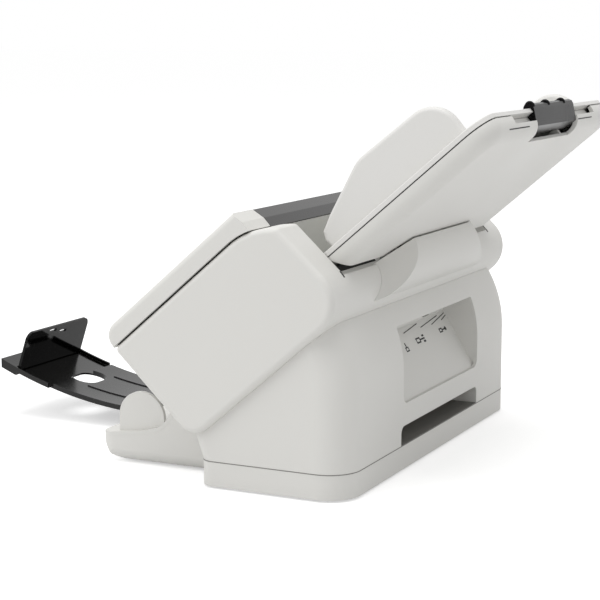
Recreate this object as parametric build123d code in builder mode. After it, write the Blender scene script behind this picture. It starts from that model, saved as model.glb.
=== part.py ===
from build123d import *
import os
from math import atan2, cos, pi, radians, sin, sqrt, tan

# Desktop document scanner, in millimetres, +Z up, front towards -Y.
# The origin is on the desk, under the middle of the whole object.
# "Path" coordinates are used for everything that lies along the paper:
# u runs up the feed slope, n stands square to it, towards the front cover.

# Paper path
path_slope = 40.6
path_low_y = -27.1
path_low_z = 148.0
path_gap = 1.5

# Tilted upper block
block_width = 310.0
block_corner = 14.0
face_corner = 4.0
channel_half = 128.0
shell_wall = 2.6
seam_n = 37.4
seam_gap = 0.8
block_bottom_u = -142.6
block_taper = 6.0
block_rear_n = -40.0
block_rear_fillet = 22.0
block_lower_fillet = 14.0
block_top_front_u = -1.2
top_taper = 6.8
seam_turn_u = -34.0
seam_end_n = 24.9

# Front cover
cover_face_n = 49.9
cover_face_fillet = 10.0
cover_top_fillet = 14.0
strip_top_u = -16.6
strip_low_n = 33.9
strip_edge_n = 41.3
strip_reach = 15.0
strip_wall = 2.4

# Pedestal and plinth
base_width = 300.0
screw_r = 1.5
screw_head_r = 2.8
screw_boss_r = 4.0
screw_sink = 3.0
screw_length = 24.0
screw_front_y = -77.0
screw_rear_y = -25.0
base_corner = 21.0
front_corner = 9.0
base_depth = 101.0
plinth_height = 17.5
plinth_floor = 2.4
pedestal_arc_z = 65.0
pedestal_arc_r = 80.5
pedestal_lean = 6.6
pedestal_front_z = 36.0
pad_height = 1.5
pad_length = 22.0
pad_width = 12.0
pad_x_rear = 118.0
pad_y_rear = 16.0
pad_x_front = 92.0
pad_y_front = 165.0

# Rear recess for the sockets and the hand-hold slot below it
recess_left = -78.0
recess_right = 60.5
recess_low_z = 44.5
recess_high_z = 94.5
recess_depth = 27.0
recess_corner = 6.0
hand_left = -78.0
hand_right = 64.0
hand_high_z = 30.0
hand_corner = 5.0
hand_depth = 30.0

# Sockets in the strip along the top of the recess
strip_low_z = 83.5
socket_z = 89.0
socket_depth = 13.0
socket_holes = ((-44.0, 12.0, 9.6), (-10.0, 14.0, 6.6))
inlet_x = 27.0
inlet_r = 4.6
inlet_bore_r = 2.9
inlet_pin_r = 0.9
inlet_depth = 9.0
board_mid_z = 69.0
board_width = 150.0
board_height = 56.0
board_thick = 1.6

# Feed tray
tray_half = 127.0
tray_length = 133.0
tray_plate_wall = 3.2
tray_thickness = 15.6
tray_wall = 2.2
tray_far_corner = 18.0
tray_edge_fillet = 10.0
tray_hinge_u = 1.5
tray_hinge_n = -15.3
hood_half = 52.4
hood_foot_half = 77.0
hood_foot_u = 4.1
hood_radius = 23.4
tray_notch_u = 21.8
notch_wide_half = 77.0
tray_rim = 0.3
rim_groove = 0.7
tray_low_lean = 7.5
pressure_angle = 20.0
mesh_play = 0.16

# Side guides with their racks and pinion
guide_outer = 122.0
guide_thick = 8.5
guide_travel = 62.0
rack_module = 1.0
pinion_teeth = 20
pinion_u = 39.5
rack_body = 4.0
rack_thick = 3.4
stem_width = 6.0
rack_overlap = 7.0
pinion_pin_r = 2.0
guide_edge = 2.6

# Extension and its grip
extension_half = 83.0
extension_low_u = 57.5
extension_thick = 5.2
grip_half = 42.0
grip_wall = 2.2
grip_low_n = -11.5
drawer_end_u = 128.0
grip_reach = 14.0

# Foot, output side plates and eject tray
foot_half = 121.0
foot_tip_y = -193.2
foot_corner = 12.0
foot_edge = 8.0
foot_rib_x = 32.0
foot_seam = ((-300.0, 4.4), (-160.3, 20.4), (-144.9, 25.0), (-139.6, 30.3), (-120.0, 61.0))
foot_top = ((-300.0, 7.3), (-161.0, 23.0), (-146.3, 27.2), (-141.6, 31.8), (-121.6, 64.0))
foot_bend_rs = (30.0, 11.0, 14.0)
plate_r = 17.0
plate_y = -162.0
plate_z = 31.5
foot_wall = 2.5
side_plate_inset = 4.0
plate_half = foot_half - side_plate_inset
eject_half = 42.0
eject_thick = 3.6
eject_strip_half = 39.5
eject_step_y = -287.0
ridge_x = 18.0
ridge_width = 1.4
ridge_rise = 0.7
ridge_near_y = -268.0
ridge_far_y = -202.0
eject_arc_r = 323.0
eject_arc_y = -198.0
eject_top_z = 15.9
eject_gap = 0.35
handle_thick = 6.0
handle_y = -315.6
pocket_depth = 2.3
pocket_far_y = -284.2
finger_hole_y = -279.0
finger_hole_length = 21.0
finger_hole_width = 30.0
stopper_pin_r = 1.0
stopper_sink = 1.2
eject_rear_y = -172.0
eject_front_y = -328.0
stopper_half = 40.0
stopper_y = -314.0
stopper_height = 29.0
stopper_thick = 2.0
stopper_lean = 18.5

# Hinges
cover_hinge_u = -139.0
cover_hinge_n = 33.6
cover_pin_r = 1.8
hinge_pocket_reach = 14.5
hinge_pocket_depth = 2.7
pocket_floor_wall = 4.3
guide_sink = 3.0
arm_low_x = 53.2
arm_high_x = 58.2
arm_r = 5.0
arm_room_x = 0.7
hood_top_n = -16.8
boss_length = 12.0
boss_r = 6.0
floor_low_u = -118.0
floor_high_u = -24.0
floor_margin = 14.0
tray_pin_r = 2.5
tray_pin_grip = 9.0

# Sensor units, behind their glass windows
sensor_u = -98.0
sensor_width = 15.0
sensor_depth = 14.0
sensor_half = 115.0
glass_half = 110.0
glass_width = 10.0

# Cover frame and what it carries
frame_half = 126.0
frame_wall = 2.2
frame_gap = 0.4
pinch_roller_r = 6.0
pinch_shaft_r = 2.0
separation_r = 10.0
bush_r = 5.0
tyre_width = 12.0
tyre_places = (-81.0, -31.0, 31.0, 81.0)
feed_tyre_width = 16.0
feed_tyre_places = (-18.0, 18.0)
separation_half = 14.0
frame_boss = 3.6
frame_rise = 8.0
slot_reach = 22.0
shaft_half = 132.0
nose_clear_r = 17.2
strip_half = 126.0

# Operator panel on the front face of the cover
panel_x = 70.0
panel_u = -56.0
panel_width = 92.0
panel_length = 24.0
panel_sink = 1.4
panel_rise = 0.3
display_x = 48.0
display_width = 34.0
display_length = 15.0
key_board_n = 40.0
key_travel = 1.2
key_proud = 1.8
board_pillars = ((29.0, -64.0), (111.8, -47.6))
board_pillar_r = 1.8
key_names = ("start_key", "stop_key", "function_key")
key_places = ((104.0, -56.0, 6.5), (86.0, -50.5, 3.6), (86.0, -61.5, 3.6))

# Rollers and shafts
shaft_r = 3.0
feed_roller_r = 12.0
feed_roller_u = -47.0
drive_roller_r = 8.0
drive_roller_us = (-72.0, -124.0)
roller_lift = 0.4
running_gap = 0.06
seat_gap = 0.3

# Each shaft over the paper, in the cover: its place, its height and its roller's radius
cover_lift = roller_lift + 0.35
cover_shafts = [(feed_roller_u, cover_lift + separation_r, separation_r)]
cover_shafts += [(u, cover_lift + pinch_roller_r, pinch_roller_r) for u in drive_roller_us]

# Each shaft under the paper: its place along the path, its depth and its roller's radius
shafts = [(feed_roller_u, roller_lift - feed_roller_r, feed_roller_r)]
shafts += [(u, roller_lift - drive_roller_r, drive_roller_r) for u in drive_roller_us]

slope_cos = cos(radians(path_slope))
slope_sin = sin(radians(path_slope))
bulge_u = tray_length - tray_rim - tray_edge_fillet
bulge_n = tray_edge_fillet - tray_thickness
feed_far_y = path_low_y + bulge_u * slope_cos - bulge_n * slope_sin + tray_edge_fillet
rear_y = -(feed_far_y + eject_front_y) / 2


def side_plane(x):
    """Plane across the object: local x to the rear, local y up, from the rear face and the desk."""
    return Plane(origin=(x, rear_y, 0), x_dir=(0, 1, 0), z_dir=(1, 0, 0))


def path_plane(x):
    """Plane across the object: local x up the paper path (u), local y square to it (n)."""
    low_edge = (x, rear_y + path_low_y, path_low_z)
    return Plane(origin=low_edge, x_dir=(0, slope_cos, slope_sin), z_dir=(1, 0, 0))


def slope_plane(n):
    """Plane parallel with the paper path: local x across, local y up the path."""
    low_edge = (0, rear_y + path_low_y - n * slope_sin, path_low_z + n * slope_cos)
    return Plane(origin=low_edge, x_dir=(1, 0, 0), z_dir=(0, -slope_sin, slope_cos))


def level_plane(z):
    """Plane level with the desk: local x across, local y to the rear."""
    return Plane(origin=(0, rear_y, z), x_dir=(1, 0, 0), z_dir=(0, 0, 1))


def back_plane(y):
    """Plane parallel with the rear face: local x across, local y up, normal to the front."""
    return Plane(origin=(0, rear_y + y, 0), x_dir=(1, 0, 0), z_dir=(0, -1, 0))


def height_over_path(point):
    """How far a point stands from the paper path, positive towards the cover."""
    return (point.Z - path_low_z) * slope_cos - (point.Y - rear_y - path_low_y) * slope_sin


def along_path(point):
    """How far up the paper path a point lies, from the feed tray's low edge."""
    return (point.Y - rear_y - path_low_y) * slope_cos + (point.Z - path_low_z) * slope_sin


def bottom_u(n):
    """The block's lower front face leans in towards the desk."""
    return block_bottom_u + (seam_n - n) * tan(radians(block_taper))


def top_u(n):
    """The block's upper end leans out towards the rear."""
    return block_top_front_u + (seam_end_n - n) * tan(radians(top_taper))


def rounded_profile(inset, corners, side_radius):
    """A solid across the block with rounded corners in its outline and rounded side edges."""
    half = block_width / 2 - inset
    with BuildPart() as shape:
        with BuildSketch(path_plane(-half)) as section:
            Polygon(*corners, align=None)
            for corner, radius in corners.items():
                fillet(section.vertices().sort_by_distance((*corner, 0))[0], radius=radius - inset)
        extrude(amount=2 * half)
        ends = shape.faces().sort_by(Axis.X)
        fillet(ends[0].edges() + ends[-1].edges(), radius=side_radius - inset)
    return shape.part


def whole_block(inset):
    """The tilted upper block with its cover, shrunk all round by inset."""
    low, high = block_rear_n + inset, cover_face_n - inset
    far = block_width
    crisp = {
        (bottom_u(high) + inset, high): cover_face_fillet,
        (bottom_u(low) + inset, low): block_lower_fillet,
        (top_u(low) - inset, low): block_rear_fillet,
        (top_u(high) - inset, high): cover_top_fillet,
    }
    soft = {
        (-far, far): block_corner,
        (-far, low): block_corner,
        (top_u(low) - inset, low): block_rear_fillet,
        (top_u(far) - inset, far): block_corner,
    }
    return rounded_profile(inset, crisp, face_corner) & rounded_profile(inset, soft, block_corner)


def under_seam(shift):
    """Everything on the body's side of the seam between block and cover, moved by shift."""
    reach = block_width
    with BuildPart() as region:
        with BuildSketch(path_plane(-reach)):
            with BuildLine():
                straight = Line((-reach, seam_n + shift), (seam_turn_u, seam_n + shift))
                turn_end = (block_top_front_u, seam_end_n + shift)
                bend = TangentArc(straight @ 1, turn_end, tangent=straight % 1)
                out = Line(bend @ 1, bend @ 1 + (bend % 1) * reach / 4)
                Polyline(out @ 1, ((out @ 1).X, -reach), (-reach, -reach), straight @ 0)
            make_face()
        extrude(amount=2 * reach)
    return region.part


def between(shape, x_low, x_high):
    """The part of a shape that lies between two planes across the object."""
    with BuildPart() as piece:
        add(shape)
        with BuildSketch(Plane.YZ.offset(x_low)):
            Rectangle(2000, 2000)
        extrude(amount=x_high - x_low, mode=Mode.INTERSECT)
    return piece.part


def save(part, name):
    """Label a finished piece and write it."""
    part.label = name
    export_step(part, "parts/" + name + ".step")


def pedestal_solid(inset):
    """Pedestal between plinth and block, shrunk by inset at its sides, front and rear."""
    half = base_width / 2 - inset
    radius = pedestal_arc_r - inset
    arc_y = -pedestal_arc_r
    rear_y_top = arc_y + radius * cos(radians(40))
    rear_z_top = pedestal_arc_z + radius * sin(radians(40))
    mid = (arc_y + radius * cos(radians(20)), pedestal_arc_z + radius * sin(radians(20)))
    with BuildPart() as shape:
        with BuildSketch(side_plane(-half)):
            with BuildLine():
                Line((-inset, plinth_height), (-inset, pedestal_arc_z))
                ThreePointArc((-inset, pedestal_arc_z), mid, (rear_y_top, rear_z_top))
                Polyline(
                    (rear_y_top, rear_z_top),
                    (-base_depth - 4.0 + inset, pedestal_front_z + 8.0),
                    (-base_depth - pedestal_lean + inset, pedestal_front_z),
                    (-base_depth + inset, plinth_height),
                    (-inset, plinth_height),
                )
            make_face()
        extrude(amount=2 * half)
        ends = shape.faces().sort_by(Axis.X)
        rims = ends[0].edges() + ends[-1].edges()
        rear = rims.filter_by(lambda e: e.center().Y > rear_y - 20)
        rear = rear.filter_by(lambda e: e.center().Z > plinth_height + 1)
        front = rims.filter_by(lambda e: e.center().Y < rear_y - base_depth + inset + 1)
        front = front.filter_by(lambda e: plinth_height < e.center().Z < pedestal_front_z)
        fillet(rear, radius=base_corner - inset)
        fillet(front, radius=front_corner - inset)
    return shape.part


def plinth_solid(inset, z_low, z_high):
    """Rounded rectangular base, shrunk all round by inset."""
    with BuildPart() as shape:
        with BuildSketch(level_plane(z_low)) as plan:
            with Locations((0, -base_depth / 2)):
                Rectangle(base_width - 2 * inset, base_depth - 2 * inset)
            fillet(plan.vertices().group_by(Axis.Y)[-1], radius=base_corner - inset)
            fillet(plan.vertices().group_by(Axis.Y)[0], radius=front_corner - inset)
        extrude(amount=z_high - z_low)
    return shape.part


def upright(x_low, x_high, *points):
    """A solid with a side-view outline, from x_low to x_high."""
    with BuildPart() as shape:
        with BuildSketch(side_plane(x_low)):
            Polygon(*points, align=None)
        extrude(amount=x_high - x_low)
    return shape.part


def along(x_low, x_high, *points):
    """A solid with an outline in path coordinates, from x_low to x_high."""
    with BuildPart() as shape:
        with BuildSketch(path_plane(x_low)):
            Polygon(*points, align=None)
        extrude(amount=x_high - x_low)
    return shape.part


def past_cover_end(inset):
    """Everything beyond the cover's upper end, whose line the dark strip shares."""
    end_u = strip_top_u - inset
    return along(
        -block_width,
        block_width,
        (end_u, 0),
        (end_u, strip_low_n),
        (end_u - 0.3, strip_edge_n),
        (end_u - 3.0, cover_face_n - 0.2),
        (end_u - 3.4, block_width),
        (block_width, block_width),
        (block_width, 0),
    )


def bar(x_low, x_high, u, n, radius):
    """A round bar across the paper path."""
    with BuildPart() as shape:
        with BuildSketch(path_plane(x_low)):
            with Locations((u, n)):
                Circle(radius)
        extrude(amount=x_high - x_low)
    return shape.part


def gear_outline(teeth, module):
    """Corner points of a spur gear with involute flanks, a tooth space centred on local +Y."""
    pitch_r = teeth * module / 2
    base_r = pitch_r * cos(radians(pressure_angle))
    tip_r = pitch_r + module
    root_r = pitch_r - 1.2 * module
    half_tooth = pi / 2 / teeth - mesh_play / 2 / pitch_r
    start = tan(radians(pressure_angle)) - radians(pressure_angle)
    flank = []
    for step in range(4):
        r = max(base_r, root_r) + (tip_r - max(base_r, root_r)) * step / 3
        angle = sqrt(max((r / base_r) ** 2 - 1, 0))
        flank.append((r, half_tooth + start - (angle - atan2(angle, 1))))
    flank.insert(0, (root_r, flank[0][1]))
    points = []
    for tooth in range(teeth):
        middle = pi / 2 + (tooth + 0.5) * 2 * pi / teeth
        right = [(r * cos(middle - a), r * sin(middle - a)) for r, a in flank]
        left = [(r * cos(middle + a), r * sin(middle + a)) for r, a in reversed(flank)]
        points += right + left
    return points


def rack_outline(x_start, x_end, teeth_end, body):
    """Corner points of a rack: pitch line on y = 0, teeth towards +Y, a tooth centred on x = 0."""
    pitch = pi * rack_module
    rise = rack_module
    drop = 1.2 * rack_module
    slope = tan(radians(pressure_angle))
    half = pitch / 4 - mesh_play / 2
    points = [(x_start, -drop - body), (x_start, -drop)]
    tooth = 0
    first = int((x_start + pitch / 2) / pitch) * pitch
    while first + tooth * pitch < teeth_end:
        x = first + tooth * pitch
        points.append((x - half - drop * slope, -drop))
        points.append((x - half + rise * slope, rise))
        points.append((x + half - rise * slope, rise))
        points.append((x + half + drop * slope, -drop))
        tooth += 1
    return points + [(x_end, -drop), (x_end, -drop - body)]


def tray_outline_solid(inset, n_high, n_low):
    """The feed tray's plan outline, shrunk all round by inset, between two depths."""
    half = tray_half - inset
    with BuildPart() as shape:
        with BuildSketch(slope_plane(n_low)) as plan:
            far_u = tray_length - inset
            Polygon((-half, inset), (half, inset), (half, far_u), (-half, far_u), align=None)
            fillet(plan.vertices().group_by(Axis.Y)[-1], radius=tray_far_corner - inset)
        extrude(amount=n_high - n_low)
    return shape.part


def tray_bowl(inset, n_high):
    """The lower shell of the feed tray: slanted low end, notch for the hood, rounded rim."""
    low = -tray_thickness + inset
    with BuildPart() as shape:
        add(tray_outline_solid(tray_rim + inset, n_high, low))
        rims = shape.edges().filter_by(
            lambda e: abs(height_over_path(e.center()) - low) < 0.01
            and along_path(e.center()) > tray_rim + inset + 1
        )
        fillet(rims, radius=tray_edge_fillet)
        add(
            along(
                -tray_half,
                tray_half,
                (-5 + inset, 5),
                (tray_rim + inset, 5),
                (tray_rim + inset, -tray_plate_wall),
                (tray_low_lean + inset, low - 0.01),
                (tray_low_lean + inset, low - 5),
                (-5 + inset, low - 5),
            ),
            mode=Mode.SUBTRACT,
        )
        with BuildSketch(slope_plane(low - 5)):
            Polygon(
                (-notch_wide_half - inset, -10),
                (notch_wide_half + inset, -10),
                (notch_wide_half + inset, tray_rim + inset),
                (hood_half - 1.0 + inset, tray_notch_u + inset),
                (-hood_half + 1.0 - inset, tray_notch_u + inset),
                (-notch_wide_half - inset, tray_rim + inset),
                align=None,
            )
        extrude(amount=2 * tray_thickness, mode=Mode.SUBTRACT)
    return shape.part


def hood_plan(inset):
    """Everything between the slanted planes at the hood's two ends, moved in by inset."""
    front_u = tray_hinge_u + hood_radius
    slant = (hood_foot_half - hood_half) / (front_u - hood_foot_u)
    reach = 2 * hood_radius
    near = hood_half - inset
    wide = near + slant * (front_u + reach)
    with BuildPart() as shape:
        with BuildSketch(slope_plane(-reach)):
            Polygon(
                (-wide, -reach),
                (wide, -reach),
                (near, front_u),
                (near, front_u + reach),
                (-near, front_u + reach),
                (-near, front_u),
                align=None,
            )
        extrude(amount=2 * reach)
    return shape.part


def under_foot_line(line, bend_play):
    """Everything below a bent line over the foot, with its bends rounded."""
    with BuildPart() as region:
        with BuildSketch(side_plane(-foot_half - 5)) as outline:
            Polygon(*line, (0, line[-1][1]), (0, -50), (line[0][0], -50), align=None)
            for corner, radius in zip(line[1:4], foot_bend_rs):
                fillet(outline.vertices().sort_by_distance((*corner, 0))[0], radius=radius + bend_play)
        extrude(amount=2 * foot_half + 10)
    return region.part


def foot_plan(inset, z_high):
    """The foot's plan outline, shrunk all round by inset, as a tall block."""
    with BuildPart() as shape:
        with BuildSketch(level_plane(pad_height)) as plan:
            with Locations((0, foot_tip_y + inset)):
                Rectangle(2 * (foot_half - inset), 100, align=(Align.CENTER, Align.MIN))
            fillet(plan.vertices().group_by(Axis.Y)[0], radius=foot_corner - inset)
        extrude(amount=z_high)
    return shape.part


def foot_section(inset):
    """The foot's front view with its rounded lower edges, shrunk all round by inset."""
    with BuildPart() as shape:
        with BuildSketch(back_plane(0)) as front:
            with Locations((0, pad_height + inset)):
                Rectangle(2 * (foot_half - inset), 100, align=(Align.CENTER, Align.MIN))
            fillet(front.vertices().group_by(Axis.Y)[0], radius=foot_edge - inset)
        extrude(amount=block_width)
    return shape.part


def arc_band(x_low, x_high, r_high, r_low, y_front, y_rear):
    """A strip of the eject tray's arc between two radii, from y_front to y_rear."""
    with BuildPart() as band:
        with BuildSketch(side_plane(x_low)):
            with Locations((eject_arc_y, eject_top_z + eject_arc_r)):
                Circle(r_low)
                Circle(r_high, mode=Mode.SUBTRACT)
            with Locations(((y_front + y_rear) / 2, 0)):
                Rectangle(y_rear - y_front, 250, mode=Mode.INTERSECT)
        extrude(amount=x_high - x_low)
    return band.part


def both_sides(part):
    """A piece with its twin on the other side of the middle."""
    return [part, part.mirror(Plane.YZ)]


os.makedirs("parts", exist_ok=True)

whole = whole_block(0)
hollow = whole_block(shell_wall)
body_block = whole & under_seam(-seam_gap / 2)
body_hollow = hollow & under_seam(-seam_gap / 2 - shell_wall)
cover_block = whole - under_seam(seam_gap / 2) - past_cover_end(0)
pedestal_block = pedestal_solid(0) - body_block
inside_pedestal = pedestal_solid(shell_wall)

# Plinth: a rounded tray with a deck under the hand-hold and four screw bosses
screw_x = base_width / 2 - shell_wall - screw_boss_r + 0.4
screw_places = [(x, y) for x in (-screw_x, screw_x) for y in (screw_front_y, screw_rear_y)]
with BuildPart() as plinth:
    add(plinth_solid(0, pad_height, plinth_height))
    add(plinth_solid(shell_wall, pad_height + plinth_floor, plinth_height), mode=Mode.SUBTRACT)
    with BuildSketch(level_plane(plinth_height - plinth_floor)):
        with Locations(((hand_left + hand_right) / 2, -hand_depth / 2 - shell_wall / 2)):
            Rectangle(hand_right - hand_left + 8, hand_depth + shell_wall)
    extrude(amount=plinth_floor)
    with BuildSketch(level_plane(pad_height + plinth_floor)):
        with Locations(*screw_places):
            Circle(screw_boss_r)
    extrude(amount=plinth_height - pad_height - plinth_floor - seat_gap)
    with BuildSketch(level_plane(pad_height)):
        with Locations(*screw_places):
            Circle(screw_r + 0.2)
    extrude(amount=plinth_height, mode=Mode.SUBTRACT)
    with BuildSketch(level_plane(pad_height)):
        with Locations(*screw_places):
            Circle(screw_head_r + 0.5)
    extrude(amount=screw_sink, mode=Mode.SUBTRACT)
save(plinth.part, "plinth")

with BuildPart() as base_screws:
    with BuildSketch(level_plane(pad_height + screw_sink)):
        with Locations(*screw_places):
            Circle(screw_r)
    extrude(amount=screw_length)
    with BuildSketch(level_plane(pad_height + screw_sink - 1.6)):
        with Locations(*screw_places):
            Circle(screw_head_r)
    extrude(amount=1.6)
save(base_screws.part, "base_screws")

# Rubber pads: two under the plinth, two under the foot
pad_places = [(x, y) for x in (-pad_x_rear, pad_x_rear) for y in (-pad_y_rear,)]
pad_places += [(x, y) for x in (-pad_x_front, pad_x_front) for y in (-pad_y_front,)]
with BuildPart() as rubber_pads:
    with BuildSketch(level_plane(0)):
        with Locations(*pad_places):
            RectangleRounded(pad_length, pad_width, 3)
    extrude(amount=pad_height)
    fillet(rubber_pads.edges().group_by(Axis.Z)[0], radius=0.5)
save(rubber_pads.part, "rubber_pads")

# Pedestal housing: rear wall with the recess opening and the hand-hold pocket
hand_outer = upright(
    hand_left - shell_wall,
    hand_right + shell_wall,
    (0, plinth_height),
    (0, hand_high_z + shell_wall),
    (-hand_depth - shell_wall, hand_high_z + shell_wall),
    (-hand_depth - shell_wall, plinth_height),
)
with BuildPart() as hand_air:
    with BuildSketch(back_plane(5)) as hand_mouth:
        mid_x = (hand_left + hand_right) / 2
        with Locations((mid_x, (hand_high_z + plinth_height) / 2)):
            Rectangle(hand_right - hand_left, hand_high_z - plinth_height)
        fillet(hand_mouth.vertices().group_by(Axis.Y)[-1], radius=hand_corner)
    extrude(amount=hand_depth + 5)
with BuildPart() as pedestal_housing:
    add(pedestal_block)
    add(inside_pedestal, mode=Mode.SUBTRACT)
    add(hand_outer & pedestal_block)
    add(hand_air.part, mode=Mode.SUBTRACT)
    with BuildSketch(back_plane(5)) as recess_mouth:
        with Locations(((recess_left + recess_right) / 2, (recess_low_z + recess_high_z) / 2)):
            Rectangle(recess_right - recess_left, recess_high_z - recess_low_z)
        fillet(recess_mouth.vertices().group_by(Axis.Y)[0], radius=recess_corner)
        fillet(recess_mouth.vertices().group_by(Axis.Y)[-1], radius=1.5)
    extrude(amount=22, mode=Mode.SUBTRACT)
    with BuildSketch(level_plane(plinth_height)):
        with Locations(*screw_places):
            Circle(screw_boss_r)
    extrude(amount=screw_length - plinth_height + 8)
    with BuildSketch(level_plane(plinth_height)):
        with Locations(*screw_places):
            Circle(screw_r)
    extrude(amount=screw_length - plinth_height + pad_height + screw_sink + 0.5, mode=Mode.SUBTRACT)
save(pedestal_housing.part, "pedestal_housing")

# Connector panel: a tub in the recess, sloping in from its lower lip to the socket strip
panel_wall = 2.0
tub_outer = upright(
    recess_left - panel_wall,
    recess_right + panel_wall,
    (0, recess_low_z - panel_wall),
    (-shell_wall - 1, recess_low_z - panel_wall),
    (-recess_depth - panel_wall, strip_low_z - panel_wall),
    (-recess_depth - panel_wall, recess_high_z + panel_wall),
    (0, recess_high_z + panel_wall),
)
tub_air = upright(
    recess_left,
    recess_right,
    (5, recess_low_z),
    (-shell_wall, recess_low_z),
    (-recess_depth + 0.5, strip_low_z),
    (-recess_depth, recess_high_z),
    (5, recess_high_z),
)
with BuildPart() as connector_panel:
    add(tub_outer & inside_pedestal)
    add(tub_air, mode=Mode.SUBTRACT)
    with BuildSketch(back_plane(-recess_depth + 3)):
        for x, width, height in socket_holes:
            with Locations((x, socket_z)):
                Rectangle(width + 0.4, height + 0.4)
        with Locations((inlet_x, socket_z)):
            Circle(inlet_r + 0.2)
    extrude(amount=8, mode=Mode.SUBTRACT)
save(connector_panel.part, "connector_panel")

# Sockets: sheet-metal shells with their tongues, and the round power inlet
socket_front_y = -recess_depth - 0.3
socket_names = ("data_socket", "host_socket")
for name, (x, width, height) in zip(socket_names, socket_holes):
    with BuildPart() as socket:
        with BuildSketch(back_plane(socket_front_y)):
            with Locations((x, socket_z)):
                Rectangle(width, height)
        extrude(amount=socket_depth)
        with BuildSketch(back_plane(socket_front_y)):
            with Locations((x, socket_z)):
                Rectangle(width - 1.0, height - 1.0)
        extrude(amount=socket_depth - 2, mode=Mode.SUBTRACT)
        with BuildSketch(back_plane(socket_front_y - 2)):
            with Locations((x, socket_z + height / 2 - 1.2)):
                Rectangle(width - 5.0, 1.4)
        extrude(amount=socket_depth - 3)
    save(socket.part, name)
with BuildPart() as power_inlet:
    with BuildSketch(back_plane(socket_front_y)):
        with Locations((inlet_x, socket_z)):
            Circle(inlet_r)
            Circle(inlet_bore_r, mode=Mode.SUBTRACT)
    extrude(amount=inlet_depth)
    with BuildSketch(back_plane(socket_front_y - inlet_depth)):
        with Locations((inlet_x, socket_z)):
            Rectangle(2 * inlet_r, 2 * inlet_r)
    extrude(amount=socket_depth - inlet_depth)
    with BuildSketch(back_plane(socket_front_y - 1.5)):
        with Locations((inlet_x, socket_z)):
            Circle(inlet_pin_r)
    extrude(amount=inlet_depth)
save(power_inlet.part, "power_inlet")

# Main board behind the sockets, on pillars that rise from the plinth's deck side
board_y = socket_front_y - socket_depth - 0.2
with BuildPart() as main_board:
    with BuildSketch(back_plane(board_y)):
        with Locations(((recess_left + recess_right) / 2, board_mid_z)):
            Rectangle(board_width, board_height)
    extrude(amount=board_thick)
    with BuildSketch(back_plane(board_y - board_thick)):
        with Locations((-30, board_mid_z)):
            Rectangle(24, 24)
        with Locations((14, board_mid_z + 6)):
            Rectangle(14, 10)
        with Locations((40, board_mid_z - 8)):
            Rectangle(10, 16)
    extrude(amount=2.2)
save(main_board.part, "main_board")

# Block housing: two cheeks, the rear shoulder and the lower front wall, open to the pedestal
pocket_floor_n = tray_hinge_n - hinge_pocket_depth
channel_air = along(
    -channel_half,
    channel_half,
    (-block_width, -guide_sink),
    (-hinge_pocket_reach, -guide_sink),
    (-hinge_pocket_reach, pocket_floor_n),
    (block_width / 4, pocket_floor_n),
    (block_width / 4, block_width),
    (-block_width, block_width),
)
with BuildPart() as body_housing:
    add(body_block)
    add(body_hollow, mode=Mode.SUBTRACT)
    with BuildSketch(slope_plane(block_rear_n - 1)):
        with Locations((0, (floor_low_u + floor_high_u) / 2)):
            RectangleRounded(base_width - 2 * floor_margin, floor_high_u - floor_low_u, 8)
    extrude(amount=shell_wall + 2, mode=Mode.SUBTRACT)
    for cheek_wall in both_sides(between(body_block, channel_half, channel_half + shell_wall)):
        add(cheek_wall)
    add(channel_air, mode=Mode.SUBTRACT)
    add(
        along(
            -channel_half - 1,
            channel_half + 1,
            (-hinge_pocket_reach - shell_wall, -guide_sink),
            (-hinge_pocket_reach, -guide_sink),
            (-hinge_pocket_reach, pocket_floor_n),
            (top_u(pocket_floor_n) - 0.5, pocket_floor_n),
            (top_u(pocket_floor_n) - 0.8, pocket_floor_n - pocket_floor_wall),
            (-hinge_pocket_reach - shell_wall, pocket_floor_n - pocket_floor_wall),
        )
    )
    for arm_room in both_sides(
        bar(arm_low_x - arm_room_x, arm_high_x + arm_room_x, tray_hinge_u, tray_hinge_n, arm_r + 0.8)
    ):
        add(arm_room, mode=Mode.SUBTRACT)
    for pin_hole in both_sides(
        bar(channel_half - 1, channel_half + shell_wall + 1, cover_hinge_u, cover_hinge_n, cover_pin_r)
    ):
        add(pin_hole, mode=Mode.SUBTRACT)
    for u, n, _ in shafts:
        for bush_hole in both_sides(bar(channel_half - 1, channel_half + shell_wall + 1, u, n, bush_r)):
            add(bush_hole, mode=Mode.SUBTRACT)
    corner_edges = body_housing.edges().filter_by(
        lambda e: abs(height_over_path(e.center()) - seam_n + seam_gap / 2) < 0.01
        and abs(along_path(e.center()) - bottom_u(seam_n)) < 0.3
    )
    fillet(corner_edges, radius=seam_n - seam_gap / 2 - cover_hinge_n)
save(body_housing.part, "body_housing")

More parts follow.
